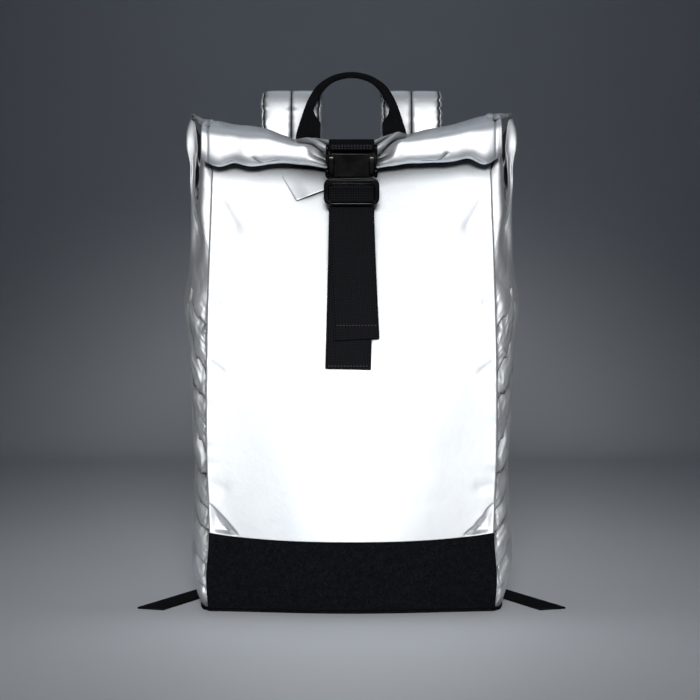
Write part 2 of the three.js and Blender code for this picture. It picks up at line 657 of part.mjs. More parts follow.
add(pack, "front_panel", frontPanel, reflective);
add(pack, "front_band", frontBand, blackCloth);
add(pack, "back_panel", backPanel, reflective);
add(pack, "base_panel", basePanel(), blackCloth);
add(pack, "roll_top", rollTop(), reflective);
add(pack, "roll_strap", rollStrap(), blackWebbing);
add(pack, "front_strap", frontStrap(), blackWebbing);
add(pack, "carry_handle", carryHandle(), blackWebbing);
add(buckle, "buckle_socket", socket(), blackPlastic);
add(buckle, "buckle_plug", plug(), blackPlastic);
for (const [side, label] of [[-1, "left"], [1, "right"]]) {
  const group = adjusterGroup(side);
  const adjuster = ladder({ ...ADJUSTER, top: 0, back: ADJUSTER.thick - 5 });
  add(pack, `gusset_${label}`, gusset(side), reflective);
  add(pack, `shoulder_strap_${label}`, shoulderStrap(side), reflective);
  add(pack, `shoulder_webbing_${label}`, shoulderWebbing(side, group), blackWebbing);
  add(group, `adjuster_${label}`, geometryOf(adjuster), blackPlastic);
  pack.add(group);
}

export default pack;
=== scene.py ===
import math

import bpy
import numpy as np
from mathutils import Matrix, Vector


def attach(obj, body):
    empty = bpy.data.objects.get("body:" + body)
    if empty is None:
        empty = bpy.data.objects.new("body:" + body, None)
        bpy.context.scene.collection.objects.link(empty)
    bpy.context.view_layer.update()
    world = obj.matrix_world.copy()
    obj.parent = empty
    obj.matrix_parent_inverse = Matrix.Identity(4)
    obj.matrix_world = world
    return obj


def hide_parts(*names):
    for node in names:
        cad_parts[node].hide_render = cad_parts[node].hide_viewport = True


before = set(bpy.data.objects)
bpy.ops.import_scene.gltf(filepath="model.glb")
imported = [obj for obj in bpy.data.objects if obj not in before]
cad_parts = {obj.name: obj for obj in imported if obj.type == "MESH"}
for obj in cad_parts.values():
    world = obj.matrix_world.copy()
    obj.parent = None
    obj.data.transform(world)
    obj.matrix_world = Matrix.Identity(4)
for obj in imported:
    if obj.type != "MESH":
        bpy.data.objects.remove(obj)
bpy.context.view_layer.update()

# Roll-top backpack. Shapes are worked out in millimetres and stored in metres.
MM = 0.001
CLOTH = 1.4  # wall of coated cloth with its lining
ROLLED = 2.4  # two cloth layers rolled together
GAP = 0.4  # clearance between sewn pieces
LAP = 1.2  # a gusset's edge behind its panel
WALL_BOTTOM = 2.8
BAND_TOP_MID, BAND_TOP_RISE = 60.5, 6.0  # the band's top edge, and its rise at the sides
PANEL_TOP = 384.0
BACK_TOP = 392.0
SEAM_HALF = 121.0
FLAT_EDGE = 0.5  # share of the front that levels out towards its seams
STEP_EDGE, STEP_SHARE = 0.9, 0.6  # sharp edge of a pulled crease: width, share of depth
FOLD_LIP = 0.6  # overhang of a fold's lip, as a share of its depth
LATTICE = 64  # points along a side of the noise's lattice
CURVE_STEPS = 400  # fine steps along a curve
X_AXIS = np.array([1.0, 0, 0])
SIDES = ((-1, "left"), (1, "right"))


# Small maths
def smooth(t, low=0.0, high=1.0):
    t = np.clip((np.asarray(t, float) - low) / (high - low), 0, 1)
    return t * t * (3 - 2 * t)


def bell(t):
    return np.exp(-np.asarray(t, float) ** 2)


def lerp(a, b, t):
    return a + (b - a) * t


def unit(v):
    return v / np.maximum(np.linalg.norm(v, axis=-1, keepdims=True), 1e-12)


def bent(v, power):
    return np.sign(v) * np.abs(v) ** power


def points_of(x, y, z):
    """Points from coordinates, spread to one shape."""
    return np.stack(np.broadcast_arrays(x, y, z), -1)


class Table:
    """Named columns of a short table, read smoothly along its first column."""

    def __init__(self, names, *rows):
        self.names = names.split()
        self.rows = np.array(rows, float)
        self.at = self.rows[:, 0]

    def __call__(self, name, x):
        v = self.rows[:, self.names.index(name)]
        slope = np.gradient(v, self.at)
        x = np.clip(np.asarray(x, float), self.at[0], self.at[-1])
        i = np.clip(np.searchsorted(self.at, x, side="right") - 1, 0, len(self.at) - 2)
        h = self.at[i + 1] - self.at[i]
        t = (x - self.at[i]) / h
        return (
            (2 * t**3 - 3 * t**2 + 1) * v[i]
            + (t**3 - 2 * t**2 + t) * h * slope[i]
            + (3 * t**2 - 2 * t**3) * v[i + 1]
            + (t**3 - t**2) * h * slope[i + 1]
        )


def run_of(points):
    """Length along a line of points (n, 3) up to each of them."""
    return np.r_[0, np.cumsum(np.linalg.norm(np.diff(points, axis=0), axis=1))]


def read_at(at, run, values):
    """Values (n, 3) that belong to the lengths of a run, read at other lengths."""
    return np.stack([np.interp(at, run, values[:, c]) for c in range(3)], 1)


def noise2(u, v, seed):
    """Smooth value noise between -1 and 1 on a unit lattice."""
    lattice = np.random.default_rng(seed).uniform(-1, 1, (LATTICE, LATTICE))
    i, j = np.floor(u).astype(int), np.floor(v).astype(int)
    fu, fv = u - i, v - j
    fu, fv = fu * fu * (3 - 2 * fu), fv * fv * (3 - 2 * fv)
    i, j, next_i, next_j = (k % LATTICE for k in (i, j, i + 1, j + 1))
    near = lerp(lattice[i, j], lattice[next_i, j], fu)
    return lerp(near, lerp(lattice[i, next_j], lattice[next_i, next_j], fu), fv)


def lines_of(a, b, table):
    """Lines of a table in the plane of a and b: share along, distance beside, run and length, the rest."""
    for a0, b0, a1, b1, *others in table.rows:
        da, db = a1 - a0, b1 - b0
        length = math.hypot(da, db)
        share = ((a - a0) * da + (b - b0) * db) / length**2
        beside = ((a - a0) * db - (b - b0) * da) / length
        yield share, beside, (da, db, length), others


def crease_field(a, b, table):
    """Depth of creases, each a line from one point to another in the plane of a and b."""
    total = np.zeros(np.broadcast(a, b).shape)
    for share, away, _, (depth, spread, sharp) in lines_of(a, b, table):
        near = np.sqrt(away**2 + sharp**2) - sharp
        fade = smooth(share, -0.15, 0.15) * (1 - smooth(share, 0.7, 1.15))
        total += depth * fade * np.exp(-((near / spread) ** 1.5))
    return total


def fold_field(a, b, table):
    """Folds like shingles, which drop below their lines: the drop, and how far the lips hang over."""
    drop, over_a, over_b = np.zeros((3, *np.broadcast(a, b).shape))
    for share, away, (da, db, length), (depth, reach, sharp) in lines_of(a, b, table):
        fade = depth * smooth(share, -0.1, 0.15) * (1 - smooth(share, 0.95, 1.15))
        edge = np.exp(-((np.maximum(away, 0) / sharp) ** 2))
        drop += fade * edge * np.clip(1 + np.minimum(away, 0) / reach, 0, 1) ** 1.6
        lip = FOLD_LIP * fade * np.exp(-np.abs(away - 1.6 * sharp) / (2.2 * sharp)) * (away > -0.5 * sharp)
        over_a -= lip * db / length
        over_b += lip * da / length
    return drop, over_a, over_b


def step_field(a, b, table):
    """Pulled creases: the cloth steps back beside each line, then comes out again over its reach."""
    drop = np.zeros(np.broadcast(a, b).shape)
    for share, away, _, (depth, near_wide, far_wide, reach) in lines_of(a, b, table):
        past = -away
        wide = lerp(near_wide, far_wide, np.clip(share, 0, 1))
        fade = depth * smooth(share, -0.1, 0.1) * (1 - smooth(share, 0.85, 1.1))
        step = lerp(smooth(past / wide), smooth(past / STEP_EDGE), STEP_SHARE)
        drop += fade * step * np.clip(1 - (past - wide) / reach, 0, 1)
    return drop


def catmull(points, u):
    """Centripetal curve through points (k, n, 3), read at u (n) from 0 to 1."""
    k = len(points)
    full = np.concatenate([2 * points[:1] - points[1:2], points, 2 * points[-1:] - points[-2:-1]])
    s = np.clip(u, 0, 1) * (k - 1)
    i = np.clip(s.astype(int), 0, k - 2)
    t = (s - i)[:, None]
    n = np.arange(len(u))
    p = [full[i + j, n] for j in range(4)]
    d = [np.sqrt(np.linalg.norm(p[j + 1] - p[j], axis=-1, keepdims=True)) + 1e-6 for j in range(3)]
    t1 = ((p[1] - p[0]) / d[0] - (p[2] - p[0]) / (d[0] + d[1]) + (p[2] - p[1]) / d[1]) * d[1]
    t2 = ((p[2] - p[1]) / d[1] - (p[3] - p[1]) / (d[1] + d[2]) + (p[3] - p[2]) / d[2]) * d[1]
    c2 = -3 * p[1] + 3 * p[2] - 2 * t1 - t2
    c3 = 2 * p[1] - 2 * p[2] + t1 + t2
    return p[1] + t1 * t + c2 * t**2 + c3 * t**3


def line(points, count):
    """Smooth line of count points through a few, evenly spaced along its length."""
    points = np.array(points, float)
    dense = catmull(np.repeat(points[:, None], CURVE_STEPS, 1), np.linspace(0, 1, CURVE_STEPS))
    run = run_of(dense)
    return read_at(np.linspace(0, run[-1], count), run, dense)


# Materials
PAINTED_SHADE_SAMPLES, PAINTED_SHADE_REACH = 8, 0.018  # samples and reach of the ambient occlusion that paints shade into creases
MIX_A, MIX_B, MIX_RESULT = 6, 7, 2  # sockets of a colour mix
WEAVE_PITCH = 0.0021


class Shader:
    """A material drawn by nodes from a coordinate of the piece, in metres."""

    def __init__(self, name, coordinate="Object"):
        self.material = bpy.data.materials.new(name)
        self.material.use_nodes = True
        self.nodes, self.links = self.material.node_tree.nodes, self.material.node_tree.links
        self.where = self.node("UVMap" if coordinate == "UV" else "TexCoord", {}).outputs[coordinate]

    def put(self, node, values):
        """Sets a node's sockets to numbers, or joins them to other nodes."""
        for key, value in values.items():
            if isinstance(value, (int, float)):
                node.inputs[key].default_value = value
            else:
                self.links.new(value, node.inputs[key])
        return node

    def node(self, kind, values):
        return self.put(self.nodes.new("ShaderNode" + kind), values)

    def finish(self, values):
        self.put(self.nodes["Principled BSDF"], values)
        return self.material

    def noise(self, scale, detail, rough=0.55):
        values = {"Vector": self.where, "Scale": scale, "Detail": detail, "Roughness": rough}
        return self.node("TexNoise", values).outputs["Fac"]

    def ramp(self, value, *stops):
        node = self.node("ValToRGB", {"Fac": value})
        while len(node.color_ramp.elements) < len(stops):
            node.color_ramp.elements.new(0.5)
        for element, (place, colour) in zip(node.color_ramp.elements, stops):
            element.position = place
            element.color = (*colour, 1)
        return node.outputs["Color"]

    def between(self, noise, low, high):
            return self.ramp(noise, (0.3, low), (0.7, high))

    def math(self, kind, a, b=0.0):
        node = self.node("Math", {0: a, 1: b})
        node.operation = kind
        return node.outputs[0]

    def bump(self, height, distance, strength=1.0):
        values = {"Height": height, "Distance": distance, "Strength": strength}
        return self.node("Bump", values).outputs["Normal"]


def reflective_material():
    """Pale reflective cloth, with shade painted into its creases and recesses by ambient occlusion."""
    made = Shader("reflective_cloth")
    tint = made.between(made.noise(9, 4), (0.79, 0.825, 0.87), (0.84, 0.87, 0.905))
    # painted shade: ambient occlusion darkens the cloth's tint in creases, recesses and contact lines
    painted_crease_shade = made.node("AmbientOcclusion", {"Distance": PAINTED_SHADE_REACH})
    painted_crease_shade.samples = PAINTED_SHADE_SAMPLES
    dark = made.ramp(painted_crease_shade.outputs["AO"], (0.3, (0.02, 0.022, 0.025)), (0.96, (1, 1, 1)))
    dull = made.node("Mix", {"Factor": 1.0, MIX_A: tint, MIX_B: dark})
    dull.data_type, dull.blend_type = "RGBA", "MULTIPLY"
    crinkle = made.noise(60, 5, 0.6)
    height = made.math("ADD", made.math("MULTIPLY", crinkle, 3.0), made.noise(1500, 2))
    return made.finish({
        "Base Color": dull.outputs[MIX_RESULT],
        "Normal": made.bump(height, 0.00018, 0.4),
        "Roughness": made.between(crinkle, (0.54,) * 3, (0.60,) * 3),
        "Metallic": 0.9,
        "Specular IOR Level": 0.3,
    })


def black_cloth_material():
    """Coarse black nylon with paler flecks."""
    made = Shader("black_cloth")
    fleck = made.noise(950, 2, 0.6)
    most = made.math("MULTIPLY", fleck, 0.75)
    rest = made.math("MULTIPLY", made.noise(260, 2), 0.25)
    stops = [(0.36, (0.0012, 0.0014, 0.002)), (0.5, (0.003, 0.0035, 0.0045)), (0.66, (0.009, 0.010, 0.013))]
    return made.finish({
        "Base Color": made.ramp(made.math("ADD", most, rest), *stops),
        "Normal": made.bump(fleck, 0.0006, 0.8),
        "Roughness": 0.85,
        "Specular IOR Level": 0.05,
    })


def webbing_material():
    """Woven webbing with crossed ribs; its UV map runs across and along the strap, in metres."""
    made = Shader("black_webbing", "UV")
    split = made.node("SeparateXYZ", {0: made.where})
    turned = [made.math("MULTIPLY", split.outputs[i], 2 * math.pi / WEAVE_PITCH) for i in (0, 1)]
    waves = [made.math("SINE", turn) for turn in turned]
    ribs = made.math("ADD", made.math("MULTIPLY", *waves), made.math("ADD", *waves))
    rough_ribs = made.math("ADD", ribs, made.noise(900, 2))
    lifted = made.math("ADD", made.math("MULTIPLY", rough_ribs, 0.22), 0.4)
    return made.finish({
        "Base Color": made.ramp(lifted, (0.2, (0.001, 0.001, 0.0015)), (0.9, (0.012, 0.013, 0.016))),
        "Normal": made.bump(lifted, 0.0006, 0.9),
        "Roughness": 0.6,
        "Specular IOR Level": 0.05,
    })


def plastic_material():
    """Moulded black plastic with a satin gloss."""
    made = Shader("black_plastic")
    smear = made.noise(70, 3)
    return made.finish({
        "Base Color": made.between(smear, (0.0006, 0.0006, 0.001), (0.001, 0.001, 0.0016)),
        "Normal": made.bump(made.noise(1400, 2), 0.00002, 0.4),
        "Roughness": made.between(smear, (0.14,) * 3, (0.2,) * 3),
        "Specular IOR Level": 0.09,
    })


def plain_material(name, low, high, scale, detail, rough, bump=None):
    """A dull finish between two tints, such as thread."""
    made = Shader(name)
    grain = made.noise(scale, detail)
    if bump:
        made.finish({"Normal": made.bump(grain, bump)})
    return made.finish({"Base Color": made.between(grain, low, high), "Roughness": rough})


REFLECTIVE = reflective_material()
INSIDE = plain_material("cloth_inside", (0.018, 0.019, 0.022), (0.035, 0.037, 0.042), 900, 2, 0.85, 0.0002)
BLACK_CLOTH = black_cloth_material()
WEBBING = webbing_material()
PLASTIC = plastic_material()
PALE_THREAD = plain_material("pale_thread", (0.03, 0.03, 0.034), (0.07, 0.07, 0.078), 2500, 1, 0.7, 0.0001)
DARK_THREAD = plain_material("dark_thread", (0.02, 0.02, 0.023), (0.05, 0.05, 0.055), 2500, 1, 0.7, 0.0001)


# Mesh makers
def link(name, data):
    made = bpy.data.objects.new(name, data)
    bpy.context.scene.collection.objects.link(made)
    return made


def solid(name, points, faces, material):
    """An object with smooth faces, from points in metres."""
    mesh = bpy.data.meshes.new(name)
    mesh.from_pydata(np.reshape(points, (-1, 3)).tolist(), [], faces)
    mesh.validate()
    mesh.polygons.foreach_set("use_smooth", np.ones(len(mesh.polygons), bool))
    mesh.materials.append(material)
    return link(name, mesh)


def piece(name, points, faces, material, replaced=(), uv=None):
    """A named piece from points in millimetres; it rides on the bag."""
    made = solid(name, np.asarray(points) * MM, faces, material)
    if uv is not None:
        layer = made.data.uv_layers.new(name="UVMap")
        corner = np.zeros(len(made.data.loops), int)
        made.data.loops.foreach_get("vertex_index", corner)
        layer.data.foreach_set("uv", (uv.reshape(-1, 2)[corner] * MM).ravel())
    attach(made, "root")
    if replaced:
        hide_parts(*replaced)
    return made


def grid_faces(rows, columns, closed=False, flip=False):
    faces = []
    for r in range(rows - 1):
        for c in range(columns if closed else columns - 1):
            d = (c + 1) % columns
            quad = (r * columns + c, r * columns + d, (r + 1) * columns + d, (r + 1) * columns + c)
            faces.append(quad[::-1] if flip else quad)
    return faces


def tube_faces(rows, columns):
    """Faces of a row of rings, closed at both ends."""
    ends = [tuple(range(columns))[::-1], tuple(range((rows - 1) * columns, rows * columns))]
    return grid_faces(rows, columns, closed=True) + ends


def normals_of(grid):
    """Unit normals of a grid of points (rows, columns, 3)."""
    return unit(np.cross(np.gradient(grid, axis=1), np.gradient(grid, axis=0)))


def cloth(name, grid, replaced, material=REFLECTIVE, flip=False, thick=CLOTH, place=-1,
          inside=None, rim=0):
    """A sheet of cloth, its wall inwards from the points."""
    made = piece(name, grid, grid_faces(*grid.shape[:2], flip=flip), material, replaced)
    wall = made.modifiers.new("wall", "SOLIDIFY")
    wall.thickness = thick * MM
    wall.offset = place
    wall.use_rim = True
    if inside:
        made.data.materials.append(inside)
        wall.material_offset = 1
        wall.material_offset_rim = rim
    return made


# Body tables
BODY = Table(
    "z half front_y front_bulge back_half back_y back_bulge",
    (3, 121.5, -50, 15, 117, 55, 5), (25, 123, -50.9, 16.6, 118, 55.4, 5.8),
    (60, 120.8, -52, 19, 119, 56, 7), (130, 123, -52, 20, 121, 56, 8),
    (220, 123.2, -51, 19, 121, 55, 8), (300, 121.3, -47, 15, 120, 49, 7),
    (345, 120, -42, 8, 119, 40, 5), (372, 119.3, -38, 2.5, 119, 30, 4),
    (398, 118, -28, 0, 119, 10, 2),
)
GUSSET = Table(
    "z ridge_x ridge_y fold_x fold_y side_x side_y",
    (3, 125, -44, 129, -28, 130.5, 10), (14, 127, -47, 132.5, -32, 133.5, 10),
    (35, 128, -46.3, 136.5, -33.5, 138, 8), (60, 127, -46.5, 136, -34, 138, 6),
    (105, 126.5, -46.8, 134, -34.5, 135.5, 6), (180, 128, -46, 137, -34, 139, 6),
    (225, 130, -45.6, 139, -32.5, 141.5, 4), (262, 130.5, -44, 141, -31, 146, 2),
    (290, 131.5, -42.5, 138.5, -33, 142, -12), (312, 129, -42, 133, -31.5, 140, -25.5),
    (336, 129, -39.5, 133, -28, 139.8, -22), (352, 129, -37, 135.5, -16, 140.5, -14),
    (367, 128.5, -35.5, 136.5, -8, 141.5, -10), (382, 128, -34, 135.5, -8, 141.5, -10),
    (398, 127, -34, 133.5, -13, 145, -12), (412, 127, -34, 134, -16, 144.5, -12),
    (426, 127, -34, 131, -19, 139.5, -14),
)
GUSSET_TOP = Table(
    "u z", (0, 373), (0.25, 390), (0.46, 384), (0.53, 414), (0.62, 422), (0.75, 426), (0.87, 418), (1, 390)
)
GUSSET_FOLDS = Table(
    "side_w side_z seam_w seam_z depth reach sharp",
    (36, 270, 6, 244, 4.0, 14, 0.8), (42, 260, 0, 199, 8.0, 19, 0.6),
    (42, 210, 0, 179, 8.0, 17, 0.6), (40, 198, 0, 133, 8.5, 19, 0.6),
    (32, 168, 4, 128, 3.4, 7, 0.5), (40, 141, 0, 114, 7.4, 16, 0.6),
    (40, 131, 0, 84, 7.4, 16, 0.6), (38, 98, 0, 67, 6.4, 13, 0.6),
    (32, 66, 0, 36, 4.4, 12, 0.7), (14, 26, 0, 18, 1.6, 5, 0.8),
)
GUSSET_PLEATS = Table(
    "side_w side_z seam_w seam_z depth reach sharp",
    (36, 424, 30, 384, 2.2, 5, 2), (46, 336, 25, 362, 3.6, 4.5, 0.6),
    (46, 342, 25, 368, 3.6, 4.5, 0.6), (46, 348, 27, 374, 3.2, 4.5, 0.6),
)
FRONT_CREASES = Table(
    "from_x from_z to_x to_z depth spread sharp",
    (122, 111, 103, 101, 0.3, 5, 1), (114, 352, 95, 320, 1.0, 4, 1),
    (121, 212, 106, 201, 0.35, 2, 0.5), (123, 268, 110, 259, 0.4, 4, 1),
)
FRONT_STEPS = Table(
    "side_x side_z to_x to_z depth near_wide far_wide reach",
    (124, 97, 91, 61, 3.2, 4, 7, 26), (107, 74, 99, 63, 0.6, 1.4, 1.4, 5),
)
ROLL = Table(
    "x top bottom front depth",
    (-126, 417.5, 380, -66, 26), (-112, 415, 374.5, -67.5, 26), (-100, 412.5, 377.5, -67, 26),
    (-85, 410.5, 374.5, -68.5, 26), (-69, 407.5, 376.5, -68, 26), (-56, 402, 377.5, -67, 25),
    (-46, 399.5, 376.5, -66.5, 25), (-36, 401.5, 375.5, -67, 25), (-20, 398.5, 373, -66, 24),
    (20, 398.5, 373, -66, 24), (30, 402.5, 374.5, -66.5, 24), (38, 405.5, 375.5, -67.5, 25),
    (46, 404.5, 377, -67, 25), (62, 407.5, 377.5, -68, 26), (86, 412.5, 379, -67.5, 26),
    (99, 416, 381.5, -67, 26), (113, 420, 376.5, -68, 26), (126, 422.5, 383.5, -66, 26),
)
RIDGE_NOTCH_Z, RIDGE_NOTCH = 283.0, 7.0  # height and depth of the notch in a gusset's ridge
RIDGE_NOTCH_UP, RIDGE_NOTCH_DOWN = 55.0, 22.0  # how far it reaches above and below
HOLLOW_Z, HOLLOW_SPREAD, HOLLOW_DEEP = 370.0, 14.0, 10.0  # pocket below the roll's end
CORNER_EASE = 40  # rounds of easing of a gusset's corners


def front_dent(x, z):
    return crease_field(np.abs(x), z, FRONT_CREASES)


def front_y(x, z):
    share = x / BODY("half", z)
    crown = lerp(1 - share**2, 0.5 + 0.5 * np.cos(math.pi * share), FLAT_EDGE)
    return BODY("front_y", z) - BODY("front_bulge", z) * crown + front_dent(x, z)


def back_y(x, z):
    half = BODY("back_half", z)
    return BODY("back_y", z) + BODY("back_bulge", z) * (1 - (x / half) ** 2)


def band_top(x):
    return BAND_TOP_MID + BAND_TOP_RISE * np.abs(x / SEAM_HALF) ** 3


# Panels
FRONT_SIZE, BAND_SIZE, BACK_SIZE = (221, 261), (121, 33), (81, 131)  # columns and rows of points
BAND_PROUD = 0.3  # how far the band stands before the front panel
BACK_INSET = 0.6


def level(z):
    return lambda x: np.full_like(x, z)


def panel_grid(size, low, high, half_name, surface):
    even = np.linspace(-0.5, 0.5, size[0])
    share = np.sin(even * math.pi) * 0.8 + even * 0.4
    t = np.linspace(0, 1, size[1])[:, None]
    v = 0.45 * t + 0.55 * t**2
    z = lerp(low(share * SEAM_HALF)[None], high(share * SEAM_HALF)[None], v)
    x = share[None] * BODY(half_name, z)
    return points_of(x, surface(x, z), z)


def front_surface(x, z):
    """The front cloth with shallow waves, seam puckers and an edge that turns into the seam."""
    inset = BODY("half", z) - np.abs(x)
    pucker = noise2(z / 7.0 + np.sign(x) * 17.0, inset / 30.0, 3) * np.exp(-inset / 6.0) * 0.35
    drift = noise2(x / 45.0 + 9, z / 60.0 + 3, 4) * 0.9 + noise2(x / 21.0, z / 26.0, 5) * 0.3
    turned = 1.1 * np.clip(1 - inset / 1.5, 0, 1) ** 2
    return front_y(x, z) + pucker + drift * smooth(inset, 0, 20) * 0.2 + turned


def back_surface(x, z):
    inset = BODY("back_half", z) - np.abs(x)
    drift = noise2(x / 40.0 + 5, z / 55.0 + 8, 8) * 1.1 + noise2(x / 18.0, z / 30.0, 9) * 0.35
    turned = 1.7 * np.clip(1 - inset / 2.2, 0, 1) ** 2
    return back_y(x, z) - BACK_INSET + drift * smooth(inset, 0, 20) * 0.5 - turned


front = panel_grid(FRONT_SIZE, band_top, level(PANEL_TOP), "half", front_surface)
x, z = front[..., 0], front[..., 2]
held = smooth(z - band_top(x), 0.0, 5.0) * smooth(BODY("half", z) - np.abs(x), -1.0, 8.0)
wander = noise2(x / 8.0 + 40, z / 8.0 + 40, 12) * 1.3
front[..., 1] += step_field(np.abs(x), z + wander, FRONT_STEPS) * held
cloth("front_panel_cloth", front, ["front_panel"], inside=INSIDE)
band = panel_grid(BAND_SIZE, level(WALL_BOTTOM), lambda x: band_top(x) - GAP, "half", front_surface)
band[..., 1] -= BAND_PROUD
cloth("front_band_cloth", band, ["front_band"], BLACK_CLOTH)
back = panel_grid(BACK_SIZE, level(WALL_BOTTOM), level(BACK_TOP), "back_half", back_surface)
cloth("back_panel_cloth", back, ["back_panel"], flip=True, inside=INSIDE)


# Gussets
def gusset_control(z, start, end, notch=0.0, beside_roll=0.0):
    """Points across a gusset at heights z, from the front seam to the back seam."""
    across = [(BODY("half", z) - LAP, start)]
    for at, share in (("ridge", 1), ("fold", 0.6), ("side", 0)):
        across.append((GUSSET(f"{at}_x", z) - share * notch, GUSSET(f"{at}_y", z)))
    across.append((BODY("back_half", z) - LAP + beside_roll, end))
    return np.stack([points_of(x, y, z) for x, y in across])


def gusset_grid(side, columns=111, rows=421):
    t = np.linspace(0, 1, columns)
    u = 0.35 * t + 0.65 * t**2
    v = np.linspace(0, 1, rows)[:, None]
    z = lerp(WALL_BOTTOM, GUSSET_TOP("z", u)[None], v)
    flat_z, flat_u = z.ravel(), np.broadcast_to(u, z.shape).ravel()
    start = BODY("front_y", flat_z) + front_dent(BODY("half", flat_z), flat_z) + CLOTH + 1.8 * GAP
    end = BODY("back_y", flat_z) - CLOTH - 3.2 * GAP
    above = flat_z - RIDGE_NOTCH_Z
    apart = np.where(above > 0, above / RIDGE_NOTCH_UP, -above / RIDGE_NOTCH_DOWN)
    notch = RIDGE_NOTCH * np.maximum(0, 1 - np.sqrt(apart**2 + 0.002))
    control = gusset_control(flat_z, start, end, notch, 9 * smooth(flat_z, 382, 396))
    grid = catmull(control, flat_u).reshape(rows, columns, 3)
    for _ in range(CORNER_EASE):
        grid[:, 1:-1] = 0.25 * grid[:, :-2] + 0.5 * grid[:, 1:-1] + 0.25 * grid[:, 2:]
    w = np.cumsum(np.linalg.norm(np.diff(grid, axis=1, prepend=grid[:, :1]), axis=-1), axis=1)
    within = smooth(u, 0.27, 0.36) * (1 - smooth(u, 0.44, 0.52))
    hollow = HOLLOW_DEEP * bell((z - HOLLOW_Z) / HOLLOW_SPREAD) * within
    seed = 20 if side < 0 else 30
    bend = noise2(w / 14.0, z / 26.0, seed + 5) * 1.6
    at_seam = smooth(w, 0.0, 5.0)
    pull, over_w, over_z = (part * at_seam for part in fold_field(w, z + bend, GUSSET_FOLDS))
    dent, lip_w, lip_z = fold_field(w, z + bend, GUSSET_PLEATS)
    down, over = z - 0.9 * w, 0.9 * z + w
    wrinkle = 0.9 * np.abs(noise2(down / 9.0, over / 34.0, seed))
    wrinkle += 0.5 * np.abs(noise2(down / 4.5, over / 17.0, seed + 1))
    wrinkle += 0.5 * np.abs(noise2((w - 0.5 * z) / 8.0, (z + w) / 16.0, seed + 3))
    calm = smooth(w, 0.5, 5.0) * (1 - 0.7 * smooth(w, 35, 60)) * (1 - 0.85 * smooth(z, 235, 285))
    knuckle = noise2(w / 2.4, z / 2.6, seed + 2) * 0.4 * bell((w - 2.5) / 3) * (1 - smooth(z, 190, 280))
    along = unit(np.gradient(grid, axis=1))
    grid = grid - normals_of(grid) * (pull + dent + wrinkle * calm + knuckle)[..., None]
    grid = grid + along * (over_w + lip_w)[..., None]
    grid[..., 1] += hollow
    grid[..., 2] += over_z + lip_z
    grid[..., 0] *= side
    return grid


for side, label in SIDES:
    cloth(f"gusset_cloth_{label}", gusset_grid(side), [f"gusset_{label}"],
          flip=side < 0, inside=INSIDE)


# Base
BASE_STEPS, FOOT_STEPS = 41, 17  # points along the base's front and back, and along each side
BASE_PROFILE = ((0.985, 0.0), (1.0, 0.5), (1.0, 1.9), (0.985, 2.4))  # share of the outline at each height


def gusset_foot(count):
    """A gusset's lower edge, x and y, from the front seam to the back seam."""
    z = np.full(count, WALL_BOTTOM)
    control = gusset_control(z, BODY("front_y", z) + CLOTH, BODY("back_y", z) - CLOTH)
    return catmull(control, np.linspace(0.1, 0.9, count))[:, :2]


share = np.linspace(-1, 1, BASE_STEPS)
half, back_half = BODY("half", WALL_BOTTOM), BODY("back_half", WALL_BOTTOM)
foot = gusset_foot(FOOT_STEPS)
front_edge = np.stack([share * half, front_y(share * half, WALL_BOTTOM)], 1)
back_edge = np.stack([-share * back_half, back_y(share * back_half, WALL_BOTTOM)], 1)
ring = np.concatenate([front_edge, foot, back_edge, foot[::-1] * (-1, 1)])
middle = ring.mean(0)
points = [np.c_[middle + (ring - middle) * k, np.full(len(ring), h)] for k, h in BASE_PROFILE]
made = piece("base_cloth", points, tube_faces(len(points), len(ring)), BLACK_CLOTH, ["base_panel"])


# Rolled mouth
ROLL_HALF = 126.0
ROLL_PITCH = 3 / 270  # how much closer each degree of the roll lies to its middle
ROLL_LEAN = 6.0
ROLL_STEPS, ROLL_FROM, ROLL_TO = 170, -30, 490  # points around the roll, and its angles
RISE_STEPS, RISE_HIGH = 23, 3  # points from the back panel up to the roll, and how much they arch
OVER_STEPS = 21  # points around the roll that the closing strap lies on
HEM_FROM, HEM_TO = 6, 58  # and those that the stitches of a hem lie on
ARC = 0.25  # millimetres of cloth for a degree of the roll
ROLL_CREASES = Table(
    "from_x from_s to_x to_s depth spread sharp",
    (-17, 36, -36, 24, 2.6, 2.0, 0.3), (17, 36, 34, 25, 2.4, 2.0, 0.3),
    (-82, 29, -74, 41, 2.0, 1.2, 0.2), (-72, 40, -60, 34, 1.4, 1.6, 0.3),
    (-112, 43, -98, 37, 1.2, 1.8, 0.3), (80, 28, 72, 40, 2.0, 1.2, 0.2),
    (71, 40, 58, 35, 1.4, 1.6, 0.3), (112, 42, 100, 35, 1.4, 1.8, 0.3),
)
ROLL_PLEATS = Table(
    "from_x from_s to_x to_s depth near_wide far_wide reach",
    (-47, 1, -14, 26, 6.0, 2.0, 3.5, 9), (-36, -4, -14, 12, 4.0, 1.5, 2.5, 6),
    (14, 28, 47, 0, 6.5, 3.5, 2.0, 9), (14, 13, 36, -4, 4.0, 2.5, 1.5, 6),
)


